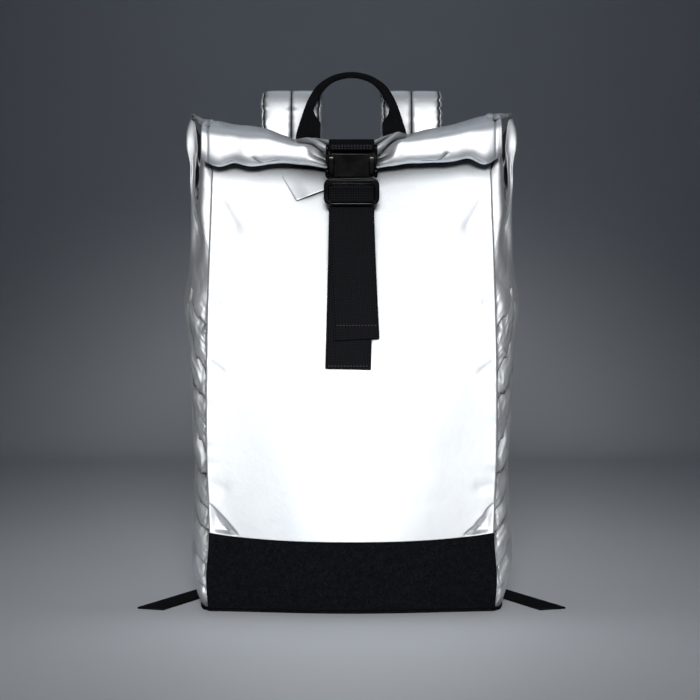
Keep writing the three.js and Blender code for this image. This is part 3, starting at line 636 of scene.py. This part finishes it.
def roll_grid(stations=281):
    """The mouth's cloth: up from the back panel, then one turn and a half around the roll."""
    x = np.linspace(-ROLL_HALF, ROLL_HALF, stations)[:, None]
    d = np.linspace(ROLL_FROM, ROLL_TO, ROLL_STEPS)[None]
    a = np.abs(x)
    top, low, face, depth = (ROLL(n, x) for n in ROLL.names[1:])
    centre_y, centre_z = face + depth / 2, (top + low) / 2
    radius_y, radius_z = (depth - ROLLED) / 2, (top - low - ROLLED) / 2
    angle = np.radians(d)
    square = lerp(lerp(0.95, 0.5, smooth(d, 25, 115)), 1.0, smooth(d, 185, 330))
    arc = np.where(d > 300, d - 360, d) * ARC
    crease = crease_field(x, arc, ROLL_CREASES) + step_field(x, arc, ROLL_PLEATS)
    hem = bell((a - ROLL_HALF + 5.5) / 0.8) * 0.7
    crumple = noise2(x / 3.5, d / 16.0, 44) * 1.6 * smooth(a, 108, 118) * bell((d - 5) / 35)
    ripple = noise2(x / 17.0 + 3, d / 55.0, 41) * 0.4 + noise2(x / 7.0, d / 28.0, 42) * 0.2
    outer = 1 - smooth(d, 150, 230) + smooth(d, 325, 345)
    grow = (ripple * smooth(a, 19, 30) - crease - hem + crumple) * outer - ROLL_PITCH * np.maximum(0, d - 60)
    sine, cosine = bent(np.sin(angle), square), bent(np.cos(angle), square)
    y = centre_y - (radius_y + grow) * sine
    y = y + (ROLL_LEAN + 3 * smooth(a, 60, 110)) * np.maximum(0, np.cos(angle)) ** 1.4 * smooth(a, 14, 34)
    z = centre_z + (radius_z + grow) * cosine
    turn = points_of(x, y, z)
    start = points_of(x, back_y(x, BACK_TOP) - ROLLED / 2, BACK_TOP + GAP + ROLLED / 2)
    t = np.linspace(0, 1, RISE_STEPS + 1)[None, :-1]
    rise = lerp(start, turn[:, :1], t[..., None])
    rise[..., 2] += RISE_HIGH * np.sin(math.pi * t)
    rise[..., 2] += noise2(x / 26.0 + 5, t * 3, 43) * 0.9 * np.sin(math.pi * t)
    return np.concatenate([rise, turn], 1)


roll = roll_grid()
cloth("roll_top_cloth", roll, ["roll_top"], thick=ROLLED, place=0)


def mouth_corner():
    """A corner of the mouth's hem that looks out below the roll; its left edge lies flush."""
    s = np.linspace(0, 1, 41)[None]
    v = np.linspace(0, 1, 33)[:, None]
    x = lerp(lerp(-66, -18, s), lerp(-46.4, -20.5, s), v)
    z = lerp(380.0, lerp(347.5, 357.5, s), v)
    rise = smooth(s, 0, 0.5)
    lift = -0.15 + rise * (CLOTH + 0.8 + 1.6 * v) + 1.4 * v**2 * (1 - rise)
    grid = points_of(x, front_y(x, z) - lift, z)
    # the cut edge takes the dark inside colour: partly the cloth's own edge, partly a painted shadow line
    # below the flap
    made = cloth("mouth_corner", grid, (), flip=True, inside=INSIDE, rim=1)
    group = made.vertex_groups.new(name="thick")
    share = lerp(0.12, 1.0, np.maximum(smooth(s, 0, 0.3), smooth(v, 0.85, 1)))
    for index, weight in enumerate(share.ravel()):
        group.add([index], float(weight), "REPLACE")
    made.modifiers["wall"].vertex_group = "thick"


mouth_corner()


def mouth_end(side, label):
    """Crumpled hem of the mouth between the roll's end and the ear of the gusset."""
    top = float(ROLL("top", side * 120.0))
    low_edge = [(120, -62, top - 6.5), (127, -56, top - 4.5), (133, -38, lerp(top, 421, 0.6)),
                (138.5, -18, 423.5)]
    high_edge = [(119, -36, top + 1), (126, -31, top + 2.5), (133, -22, lerp(top + 3, 425.5, 0.6)),
                 (139.5, -11, 426.5)]
    s = np.linspace(0, 1, 49)[None]
    t = np.linspace(0, 1, 25)[:, None]
    grid = lerp(line(low_edge, s.size)[None], line(high_edge, s.size)[None], t[..., None])
    fold = noise2(s * 9, t * 4, 71 if side < 0 else 74)
    grid[..., 2] += 1.3 * fold * np.sin(math.pi * t) + 0.6 * fold * (1 - t)
    grid[..., 0] *= side
    cloth(f"mouth_end_{label}", grid, (), flip=side < 0)


for side, label in SIDES:
    mouth_end(side, label)


# Webbing
STRAP_W, STRAP_T = 38.0, 1.6
WEB_W, WEB_T = 25.0, 1.5  # webbing of the shoulder straps
RIBBON_EDGE = 0.02  # rounded edge of a strap, as a share of its half width


def ribbon(name, path, across, width, thick, replaced, heading=None):
    """Woven strap along a path (n, 3); across gives the direction of its width at each point."""
    along = unit(np.gradient(path, axis=0)) if heading is None else heading
    across = unit(across - along * np.sum(across * along, axis=1, keepdims=True))
    out = np.cross(along, across)
    upper = [(-1, 0), (-1 + RIBBON_EDGE * 0.4, 0.75), (-1 + RIBBON_EDGE, 1)]
    upper += [(a, 1) for a in np.linspace(-1, 1, 9)[1:-1]]
    upper += [(-a, b) for a, b in upper[2::-1]]
    lower = [(a, -b) for a, b in upper[1:-1]][::-1]
    ring = np.array(upper + lower)[::-1]
    half, t = (np.broadcast_to(size / 2, len(path))[:, None] for size in (width, thick))
    wide, high = half * ring[:, 0], t * ring[:, 1]
    points = path[:, None] + across[:, None] * wide[..., None] + out[:, None] * high[..., None]
    uv = np.stack(np.broadcast_arrays(wide + half, run_of(path)[:, None]), -1)
    piece(name, points, tube_faces(len(path), len(ring)), WEBBING, replaced, uv)


BUCKLE_Y, BUCKLE_Z, BUCKLE_TILT = -72.5, 364.0, math.radians(5)
SOCKET_TOP, BAR_ROUND = 28.0, 1.6
SOCKET_BAR_Z = SOCKET_TOP - BAR_ROUND - 0.4
FOOT_BACK, FOOT_Z = -1.6, -25.0  # back face of a ladder's foot bar, and where the strap leaves below it
GRIP_Y, GRIP_Z, GRIP_ROUND = -0.3, -7.4, 1.5
BAR_CLEAR = 0.3  # between a strap and the bar that it goes around
STRAP_STEP = 0.8  # spacing of the closing straps' points
ANCHOR_Z, TAIL_END_Z = 205, 229.5  # where the front strap is sewn on, and its free end
HANG_Y, HANG_Z = -69, 300  # a point where it hangs free of the front


def arc_yz(y, z, radius, start, end, count):
    a = np.radians(np.linspace(start, end, count))
    return points_of(0, y + radius * np.cos(a), z + radius * np.sin(a))


def tilted(points, y, z, angle, x=0.0):
    c, s = math.cos(angle), math.sin(angle)
    across, deep, high = np.moveaxis(np.asarray(points, float), -1, 0)
    return points_of(across + x, y + deep * c - high * s, z + deep * s + high * c)


def at_buckle(points):
    return tilted(points, BUCKLE_Y, BUCKLE_Z, BUCKLE_TILT)


def offset_yz(points, distance):
    along = unit(np.gradient(points, axis=0))
    return points + distance * points_of(0, along[:, 2], -along[:, 1])


def ladder_run(thick):
    """Route of a strap up behind a ladder's foot bar, over its grip bar and down in front."""
    clear = BAR_CLEAR + thick / 2
    front_at = FOOT_BACK + clear
    behind = front_at + thick + 0.35
    round_ = GRIP_ROUND + clear
    return np.concatenate([
        [(0, behind, FOOT_Z + up) for up in (-7, 0, 5, 10)],
        arc_yz(GRIP_Y, GRIP_Z, round_, 0, 180, 15),
        [(0, front_at - 0.6, GRIP_Z - round_ - 1)],
        [(0, front_at, FOOT_Z + up) for up in (6, 0, -7)],
    ])


def even_line(points, step):
    """Points along straight runs at about an even step, eased at the corners."""
    run = run_of(points)
    out = read_at(np.linspace(0, run[-1], max(4, int(run[-1] / step))), run, points)
    for _ in range(2):
        out[1:-1] = 0.25 * out[:-2] + 0.5 * out[1:-1] + 0.25 * out[2:]
    return out


def roll_strap():
    """The closing strap: up the back panel, over the roll and around the socket's bar."""
    lift = 0.9 + STRAP_T / 2
    z = np.linspace(340, 389, 12)
    on_back = points_of(0, back_y(0, z), z)
    middle = roll_grid(3)[1]
    over = offset_yz(middle, ROLLED / 2 + lift)[:RISE_STEPS + OVER_STEPS]
    loop = arc_yz(0, SOCKET_BAR_Z, BAR_ROUND + BAR_CLEAR + STRAP_T / 2, 116, 360, 20)
    end = loop[-1] + (0, 0, 1.2)
    path = np.concatenate([offset_yz(on_back, lift), over, at_buckle(np.vstack([loop, end]))])
    ribbon("roll_strap_webbing", even_line(path, STRAP_STEP), X_AXIS, STRAP_W, STRAP_T, ["roll_strap"])


def front_strap():
    """The front strap: from its seam up through the buckle and down again as a free end."""
    def on_panel(x, z, lift=GAP + STRAP_T / 2):
        return (x, float(front_y(0.0, z)) - lift, z)

    run = at_buckle(ladder_run(STRAP_T))
    fixed = [on_panel(-2.9, ANCHOR_Z), on_panel(-2.4, 225), on_panel(-1.9, 245)]
    apart = STRAP_T + 0.5
    tail = [(1.0, HANG_Y - apart, HANG_Z), (3.5, fixed[2][1] - apart, 245),
            (4.3, on_panel(0, TAIL_END_Z)[1] - apart, TAIL_END_Z)]
    down = line([run[-1], *tail], 60)[1:]
    up = line([*fixed, (-0.6, HANG_Y, HANG_Z), run[0]], 70)[:-1]
    path = even_line(np.concatenate([up, run, down]), STRAP_STEP)
    ribbon("front_strap_webbing", path, X_AXIS, STRAP_W, STRAP_T, ["front_strap"])


HANDLE_WIDTH = Table(
    "z shown deep",
    (340, 24, 1.6), (413, 22.5, 1.6), (424, 19.5, 1.7), (430, 17, 2.2), (434.5, 10.5, 3.4),
    (438, 8, 4.2), (446, 7.6, 5), (456, 7, 7), (463, 4.9, 8.6), (468, 4.1, 9),
)
HANDLE_STEPS = 281


def carry_handle():
    """Webbing sewn flat at both ends, folded double and turned edge-on for the grip."""
    lift = GAP + 0.8
    outer = [
        (-50.5, float(back_y(26.0, 346.0)) + lift, 346),
        (-51, float(back_y(26.0, 368.0)) + lift + 1, 368),
        (-51, 33, 392), (-49.4, 28, 413), (-46.4, 25, 423), (-42.6, 23, 434),
        (-38, 22, 444.6), (-30.5, 21, 455.5), (-19.3, 20.5, 463), (-9, 20, 466.3),
    ]
    path = line(outer + [(0, 20, 467.2)] + [(-x, y, z) for x, y, z in outer[::-1]], HANDLE_STEPS)
    shown, deep = HANDLE_WIDTH("shown", path[:, 2]), HANDLE_WIDTH("deep", path[:, 2])
    along = unit(np.gradient(path, axis=0))
    outwards = unit(np.cross(along, (0, 1, 0)))
    path = path - outwards * np.sign(outwards[HANDLE_STEPS // 2, 2]) * shown[:, None] / 2
    ribbon("carry_handle_webbing", path, outwards, shown, deep, ["carry_handle"], along)


roll_strap()
front_strap()
carry_handle()


# Shoulder straps
SHOULDER = Table(
    "i x y z width thick",
    (0, 54, 50.6, 338, 54, 4), (1, 54, 44, 372, 54, 7), (2, 54, 41, 405, 55, 9),
    (3, 54, 42.5, 443, 55, 8.5), (4, 54, 48, 451.5, 55, 8), (5, 54.5, 55, 443, 55, 9),
    (6, 56, 72, 402, 55, 10), (7, 60, 92, 330, 55, 10), (8, 66, 100, 250, 55, 10),
    (9, 73, 97, 170, 50, 10), (10, 79, 88, 108, 34, 6),
)
PAD_FACE = ((-0.5, 0), (-0.493, 0.2), (-0.465, 0.34), (-0.44, 0.14), (-0.41, 0.42), (-0.25, 0.5),
            (-0.03, 0.47), (0, 0.1))  # left half of a pad's section, as shares of its width and thickness
PAD_BACK = ((-0.5, 0), (-0.49, -0.25), (-0.44, -0.42), (-0.2, -0.5), (0, -0.5))
PAD_RING = PAD_FACE + tuple((-a, b) for a, b in PAD_FACE[-2:0:-1] + PAD_BACK) + PAD_BACK[-2::-1]
PAD_SECTION = Table("s a b", *((s, a, b) for s, (a, b) in enumerate(PAD_RING)))
PAD_STEPS, PAD_AROUND = 420, 110
PAD_STITCH_COLUMNS, PAD_STITCH_PITCH = (15, 35, 55), 2.8
ADJ_X, ADJ_Y, ADJ_Z, ADJ_TILT = 79.0, 86.5, 104.4, math.radians(-8)
ANCHOR_X = 106.0  # where the webbing is sewn to the back's lower corners
FLOOR_Z = 0.2 + WEB_T / 2


def shoulder_strap(side, label):
    """A padded strap with sewn channels and jagged edges; gives its points, in rings."""
    t = np.linspace(0, 1, PAD_STEPS)
    at = t * SHOULDER.at[-1]
    path = catmull(np.repeat(SHOULDER.rows[:, None, 1:4], PAD_STEPS, 1), t)
    path[:, 0] *= side
    width, thick = SHOULDER("width", at)[:, None], SHOULDER("thick", at)[:, None]
    out = unit(np.cross(X_AXIS, unit(np.gradient(path, axis=0))))
    s = np.linspace(0, PAD_SECTION.at[-1], PAD_AROUND, endpoint=False)
    a, b = PAD_SECTION("a", s)[None], PAD_SECTION("b", s)[None]
    run = run_of(path)[:, None]
    seed = 50 if side < 0 else 60
    seam = bell(a / 0.06) * (b > 0)
    edge = bell((np.abs(a) - 0.47) / 0.06)
    pucker = noise2(run / 2.8, a * 9, seed) * (0.55 * seam + 1.1 * edge)
    soft = noise2(run / 17.0, a * 4, seed + 1) * 0.25
    jag = noise2(run / 2.4, np.sign(a) * 7, seed + 2) * 0.9 * edge
    across = a * width + np.sign(a) * jag
    high = b * thick + (pucker + soft * (np.abs(b) > 0.2)) * np.sign(b)
    points = path[:, None] + across[..., None] * X_AXIS + high[..., None] * out[:, None]
    faces = tube_faces(PAD_STEPS, PAD_AROUND)
    made = piece(f"shoulder_pad_{label}", points, faces, REFLECTIVE, [f"shoulder_strap_{label}"])
    return points


def shoulder_webbing(side, label):
    """Webbing from the base's corner up through the adjuster and down to a tail on the floor."""
    def on_back(z):
        y = float(back_y(ANCHOR_X - WEB_W / 2, z)) + 3 * GAP + WEB_T / 2
        return (side * ANCHOR_X, y, z)

    run = tilted(ladder_run(WEB_T), ADJ_Y, ADJ_Z, ADJ_TILT, side * ADJ_X)
    start, tip = np.array([side * 118.3, 96, FLOOR_Z]), np.array([side * 171.0, -42, FLOOR_Z])
    drop = [(side * x, y, z) for x, y, z in ((82, 95, 52), (91, 105, 28), (101, 111, 11), (110, 107, 2.8))]
    down = line([run[-1], *drop, start], 90)[1:]
    up = line([on_back(8), on_back(16), (side * 92, 74, 48), run[0]], 60)[:-1]
    flat = [lerp(start, tip, t) for t in np.linspace(0, 1, 60)[1:]]
    path = np.concatenate([up, run, down, flat])
    heading = unit(tip - start)
    lying = np.array([-heading[1], heading[0], 0])
    lying *= np.sign(lying[0])
    passed = len(up) + len(run)
    share = smooth(np.arange(len(path)), passed, passed + len(down) - 4)[:, None]
    across = lerp(X_AXIS, lying, share)
    ribbon(f"shoulder_webbing_strap_{label}", path, across, WEB_W, WEB_T, [f"shoulder_webbing_{label}"])


PADS = {}
for side, label in SIDES:
    PADS[label] = shoulder_strap(side, label)
    shoulder_webbing(side, label)


# Stitches
STITCH_RINGS = ((-0.42, 0.7), (0.0, 1.0), (0.42, 0.7))  # share of a stitch's length, and its width there
STITCH_AROUND, STITCH_FLAT, STITCH_SHARE = 6, 0.6, 0.62
STRAP_STITCH_Z, TAIL_STITCH_Z = 207.0, 241.0
STRAP_STITCH_PITCH, ROLL_STITCH_PITCH = 2.6, 2.5
HEM_STITCH_PITCH, HEM_INSET = 2.4, 5.4


def grains(name, centres, along, out, length, radius, material, slot):
    """Stitches as short rounded grains, each lying along a direction."""
    along = unit(along)
    side = unit(np.cross(out, along))
    out = np.cross(along, side)
    n = STITCH_AROUND
    turn = np.radians(np.arange(0, 360, 360 // n))
    last = (len(STITCH_RINGS) - 1) * n
    points, faces = [], []
    for c, a, b, up in zip(centres, along, side, out):
        first = len(points)
        for t, r in STITCH_RINGS:
            around = [b * math.cos(k) + up * STITCH_FLAT * math.sin(k) for k in turn]
            points += [c + a * t * length + radius * r * way for way in around]
        low, high = len(points), len(points) + 1
        points += [c - a * 0.5 * length, c + a * 0.5 * length]
        faces += [tuple(first + i for i in f) for f in grid_faces(len(STITCH_RINGS), n, closed=True)]
        faces += [(low, first + (i + 1) % n, first + i) for i in range(n)]
        faces += [(high, first + last + i, first + last + (i + 1) % n) for i in range(n)]
    piece(name, points, faces, material)


def stitch_row(name, start, end, pitch, material, radius=0.45):
    """A straight row of stitches on a strap's front, between two points."""
    start, end = np.asarray(start, float), np.asarray(end, float)
    count = max(2, int(np.linalg.norm(end - start) / pitch))
    t = (np.arange(count) + 0.5) / count
    centres = start + (end - start) * t[:, None]
    along = np.gradient(centres, axis=0)
    grains(name, centres, along, (0, -1, 0), pitch * STITCH_SHARE, radius, material, "black_webbing")


def strap_stitches():
    face = float(front_y(0.0, STRAP_STITCH_Z)) - GAP - STRAP_T - 0.05
    z = STRAP_STITCH_Z + 0.6
    stitch_row("strap_end_stitches", (-20, face, z), (14, face, z), STRAP_STITCH_PITCH, DARK_THREAD)
    face = float(front_y(0.0, TAIL_STITCH_Z)) - GAP - 2 * STRAP_T - 0.55 - 0.6
    z = TAIL_STITCH_Z + 0.5
    stitch_row("tail_hem_stitches", (-13, face, z), (21, face, z), STRAP_STITCH_PITCH, DARK_THREAD)
    for row, (place, high) in enumerate(((-3.6, 26.6), (-3.3, 24.6))):
        start, end = at_buckle([(-17, place, high), (17, place, high)])
        stitch_row(f"roll_strap_stitches_{row}", start, end, ROLL_STITCH_PITCH, PALE_THREAD, 0.35)


def stitches_along(lines, outs, pitch):
    """Centres, directions and outward directions of stitches laid along lines of points."""
    laid = []
    for row, out in zip(lines, outs):
        run = run_of(row)
        at = np.arange(pitch / 2, run[-1], pitch)
        centres = read_at(at, run, row)
        laid.append((centres, np.gradient(centres, axis=0), unit(read_at(at, run, out))))
    return [np.concatenate(part) for part in zip(*laid)]


def pad_stitches(label):
    """Stitches in the sewn channels of a shoulder strap."""
    rows = [PADS[label][:, column] for column in PAD_STITCH_COLUMNS]
    outs = [unit(np.cross(X_AXIS, np.gradient(row, axis=0))) for row in rows]
    rows = [row + 0.3 * out for row, out in zip(rows, outs)]
    laid = stitches_along(rows, outs, PAD_STITCH_PITCH)
    grains(f"shoulder_stitches_{label}", *laid, 1.9, 0.5, DARK_THREAD, "black_cloth")


def hem_stitches(side, label):
    """A row of stitches along the hem at one end of the roll."""
    x = np.linspace(-ROLL_HALF, ROLL_HALF, len(roll))
    station = int(np.argmin(np.abs(x - side * (ROLL_HALF - HEM_INSET))))
    row = roll[station, RISE_STEPS + HEM_FROM:RISE_STEPS + HEM_TO]
    top, low, face, depth = (float(ROLL(n, x[station])) for n in ROLL.names[1:])
    out = unit((row - (0, face + depth / 2, (top + low) / 2)) * (0, 1, 1))
    laid = stitches_along([row + out * ROLLED / 2], [out], HEM_STITCH_PITCH)
    grains(f"hem_stitches_{label}", *laid, 1.5, 0.3, DARK_THREAD, "black_cloth")


strap_stitches()
for side, label in SIDES:
    pad_stitches(label)
    hem_stitches(side, label)


# Buckle
BUCKLE_HALF_THICK = 5.5
SOCKET_HALF, SOCKET_LOW, SOCKET_HIGH = 21.6, 0.6, 20.6
SOCKET_SIDE = Table(
    "z half",
    (0.6, 20.8), (5, 20.2), (9.5, 20.2), (12.5, 21), (15, 21.6), (18.3, 21.9), (22, 21.7), (28, 21.2),
)
ROD_STEPS = 41
PAD_ROWS, PAD_COLUMNS = 17, 32


def rod(name, half, y, z, radius):
    """A rounded bar across the buckle."""
    x = np.linspace(-half, half, ROD_STEPS)
    path = at_buckle(points_of(x, y, z))
    past = np.maximum(0, (np.abs(x) - half + radius) / radius)
    end = np.minimum(1, np.sqrt(np.maximum(0, 1 - past**2)) + 0.05)
    turn = np.radians(np.arange(0, 360, 24))
    ring = points_of(0, np.cos(turn) * radius, np.sin(turn) * radius)
    points = path[:, None] + ring[None] * end[:, None, None]
    piece(name, points, tube_faces(ROD_STEPS, len(turn)), PLASTIC)


def round_loop(half, low, high, corner, count=96):
    """Outline (x, z) of a rectangle with round corners."""
    turn = np.linspace(0, 2 * math.pi, count, endpoint=False)
    wide, tall = half, (high - low) / 2
    power = 2 * min(wide, tall) / corner
    c, s = np.cos(turn), np.sin(turn)
    reach = (np.abs(c / wide) ** power + np.abs(s / tall) ** power) ** (-1 / power)
    return np.stack([reach * c, (low + high) / 2 + reach * s], 1)


def plate(name, outer, thick, edge, replaced, inner=None):
    """A moulded plate in the buckle's plane with rounded edges and, inside an inner outline, a slot."""
    def inset(loop, distance):
        along = unit(np.roll(loop, -1, 0) - np.roll(loop, 1, 0))
        return loop + distance * np.stack([-along[:, 1], along[:, 0]], 1)

    def rounded(loop, edge_in, angles):
        return [(inset(loop, edge_in * (1 - math.cos(k))), -thick + edge * (1 - math.sin(k))) for k in angles]

    quarter = np.radians([0, 22.5, 45, 67.5, 90])
    near = rounded(outer, edge, quarter) + ([] if inner is None else rounded(inner, -edge, quarter[::-1]))
    far = [(loop, -y) for loop, y in near[::-1]]
    section = far + near if inner is None else near + far
    points = np.stack([points_of(loop[:, 0], y, loop[:, 1]) for loop, y in section])
    rows, columns = points.shape[:2]
    faces = tube_faces(rows, columns)
    if inner is not None:
        last = (rows - 1) * columns
        faces[-2:] = [(last + c, last + (c + 1) % columns, (c + 1) % columns, c) for c in range(columns)]
    made = piece(name, at_buckle(points), faces, PLASTIC, replaced)
    made.modifiers.new("even", "WEIGHTED_NORMAL").weight = 100


def pad(name, middle, half, power):
    """A rounded block on the buckle."""
    a = np.linspace(-math.pi / 2, math.pi / 2, PAD_ROWS)[:, None]
    b = np.linspace(0, 2 * math.pi, PAD_COLUMNS, endpoint=False)[None]
    ca, sa, cb, sb = (bent(v, 2 / power) for v in (np.cos(a), np.sin(a), np.cos(b), np.sin(b)))
    points = points_of(*(at + size * way for at, size, way in zip(middle, half, (ca * cb, ca * sb, sa))))
    faces = grid_faces(PAD_ROWS, PAD_COLUMNS, closed=True)
    piece(name, at_buckle(points), faces, PLASTIC)


outline = round_loop(SOCKET_HALF, SOCKET_LOW, SOCKET_HIGH, 2.6)
outline[:, 0] *= SOCKET_SIDE("half", outline[:, 1]) / SOCKET_HALF
plate("socket_shell", outline, BUCKLE_HALF_THICK, 0.9, ["buckle_socket"])
plate("plug_frame", round_loop(23.2, -23, 0.2, 4.5), BUCKLE_HALF_THICK - 0.5, 0.8, ["buckle_plug"],
      round_loop(18.8, -19.6, -5.6, 1.6))
for side, label in SIDES:
    pad(f"socket_post_{label}", (side * 20.4, 0.0, 22.6), (1.2, 3.6, 5.2), 4.0)
    pad(f"socket_rail_{label}", (side * 16.8, -5.2, 9.6), (2.6, 0.9, 8.6), 5.0)
    pad(f"plug_arm_{label}", (side * 20.2, 0.0, 4.6), (1.8, 3.4, 4.4), 3.0)
rod("socket_bar", half=20.4, y=0.0, z=SOCKET_BAR_Z, radius=BAR_ROUND)
rod("socket_lip", half=18.0, y=-5.1, z=19.7, radius=0.8)
rod("plug_foot_bar", half=18.6, y=-4.9, z=-21.3, radius=1.8)
rod("plug_top_line", half=20.4, y=-4.9, z=-1.9, radius=0.55)
rod("plug_slot_line", half=17.4, y=-4.9, z=-4.7, radius=0.6)
rod("plug_grip_bar", half=19.4, y=GRIP_Y, z=GRIP_Z, radius=GRIP_ROUND)

# Adjusters keep their solids, with eased edges
ADJUSTER_EASE, ADJUSTER_ANGLE = 0.0005, math.radians(35)
for _, label in SIDES:
    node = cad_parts[f"adjuster_{label}"]
    node.data.materials.clear()
    node.data.materials.append(PLASTIC)
    bevel = node.modifiers.new("round", "BEVEL")
    bevel.width = ADJUSTER_EASE
    bevel.segments = 2
    bevel.harden_normals = True
    bevel.limit_method = "ANGLE"
    bevel.angle_limit = ADJUSTER_ANGLE


# Studio, in metres
FLOOR_HALF, FLOOR_FRONT, FLOOR_BACK = 4, -3.0, 1.9
SWEEP, WALL_HIGH = 0.8, 4.0  # radius of the floor's sweep, and top of the backdrop
WARM_LIGHT, COOL_LIGHT = (1.0, 0.99, 0.97), (0.82, 0.91, 1.0)
WORLD_COLOUR, WORLD_STRENGTH = (0.75, 0.8, 0.9, 1), 0.02
SENSOR = 36
VIEW_WIDE, VIEW_FAR = 588, 1400  # width of the view at a distance, in millimetres
CAMERA_PLACE = (-0.0013, -1.46, 0.221)


def stage_sheet():
    """Floor that sweeps up into a backdrop."""
    profile = [(FLOOR_FRONT, 0.0), (FLOOR_BACK, 0.0)]
    for a in np.linspace(0.1, math.pi / 2, 14):
        profile.append((FLOOR_BACK + SWEEP * math.sin(a), SWEEP - SWEEP * math.cos(a)))
    profile.append((FLOOR_BACK + SWEEP, WALL_HIGH))
    points = [(x, y, z) for y, z in profile for x in (-FLOOR_HALF, FLOOR_HALF)]
    faces = [(2 * i, 2 * i + 1, 2 * i + 3, 2 * i + 2) for i in range(len(profile) - 1)]
    pale = plain_material("pale_floor", (0.79, 0.83, 0.89), (0.82, 0.86, 0.92), 2, 3, 0.6)
    solid("floor", points, faces, pale)


def area_light(name, place, target, size, power, spread, colour=COOL_LIGHT):
    data = bpy.data.lights.new(name, "AREA")
    data.shape = "RECTANGLE"
    data.size, data.size_y = size
    data.energy = power
    data.color = colour
    data.spread = math.radians(spread)
    light = link(name, data)
    light.location = place
    light.rotation_euler = (Vector(target) - Vector(place)).to_track_quat("-Z", "Y").to_euler()


stage_sheet()
area_light("key", place=(0, -2.5, 0.75), target=(0, 0, 0.16), size=(0.7, 0.25), power=1.65, spread=24,
           colour=WARM_LIGHT)
area_light("top", place=(0, 0.2, 2.3), target=(0, 0.3, 0), size=(1.0, 0.8), power=0.9, spread=90)
area_light("backdrop", place=(0, 1.4, 2.4), target=(0, 2.6, 0.6), size=(1.2, 0.5), power=0.8, spread=100)
world = bpy.data.worlds.new("studio")
bpy.context.scene.world = world
world.use_nodes = True
background = world.node_tree.nodes["Background"]
background.inputs["Color"].default_value = WORLD_COLOUR
background.inputs["Strength"].default_value = WORLD_STRENGTH

camera = link("camera", bpy.data.cameras.new("camera"))
camera.data.sensor_width = SENSOR
camera.data.lens = SENSOR * VIEW_FAR / VIEW_WIDE
camera.location = CAMERA_PLACE
camera.rotation_euler = (math.radians(90), 0, 0)
bpy.context.scene.camera = camera
bpy.context.scene.view_settings.view_transform = "Standard"
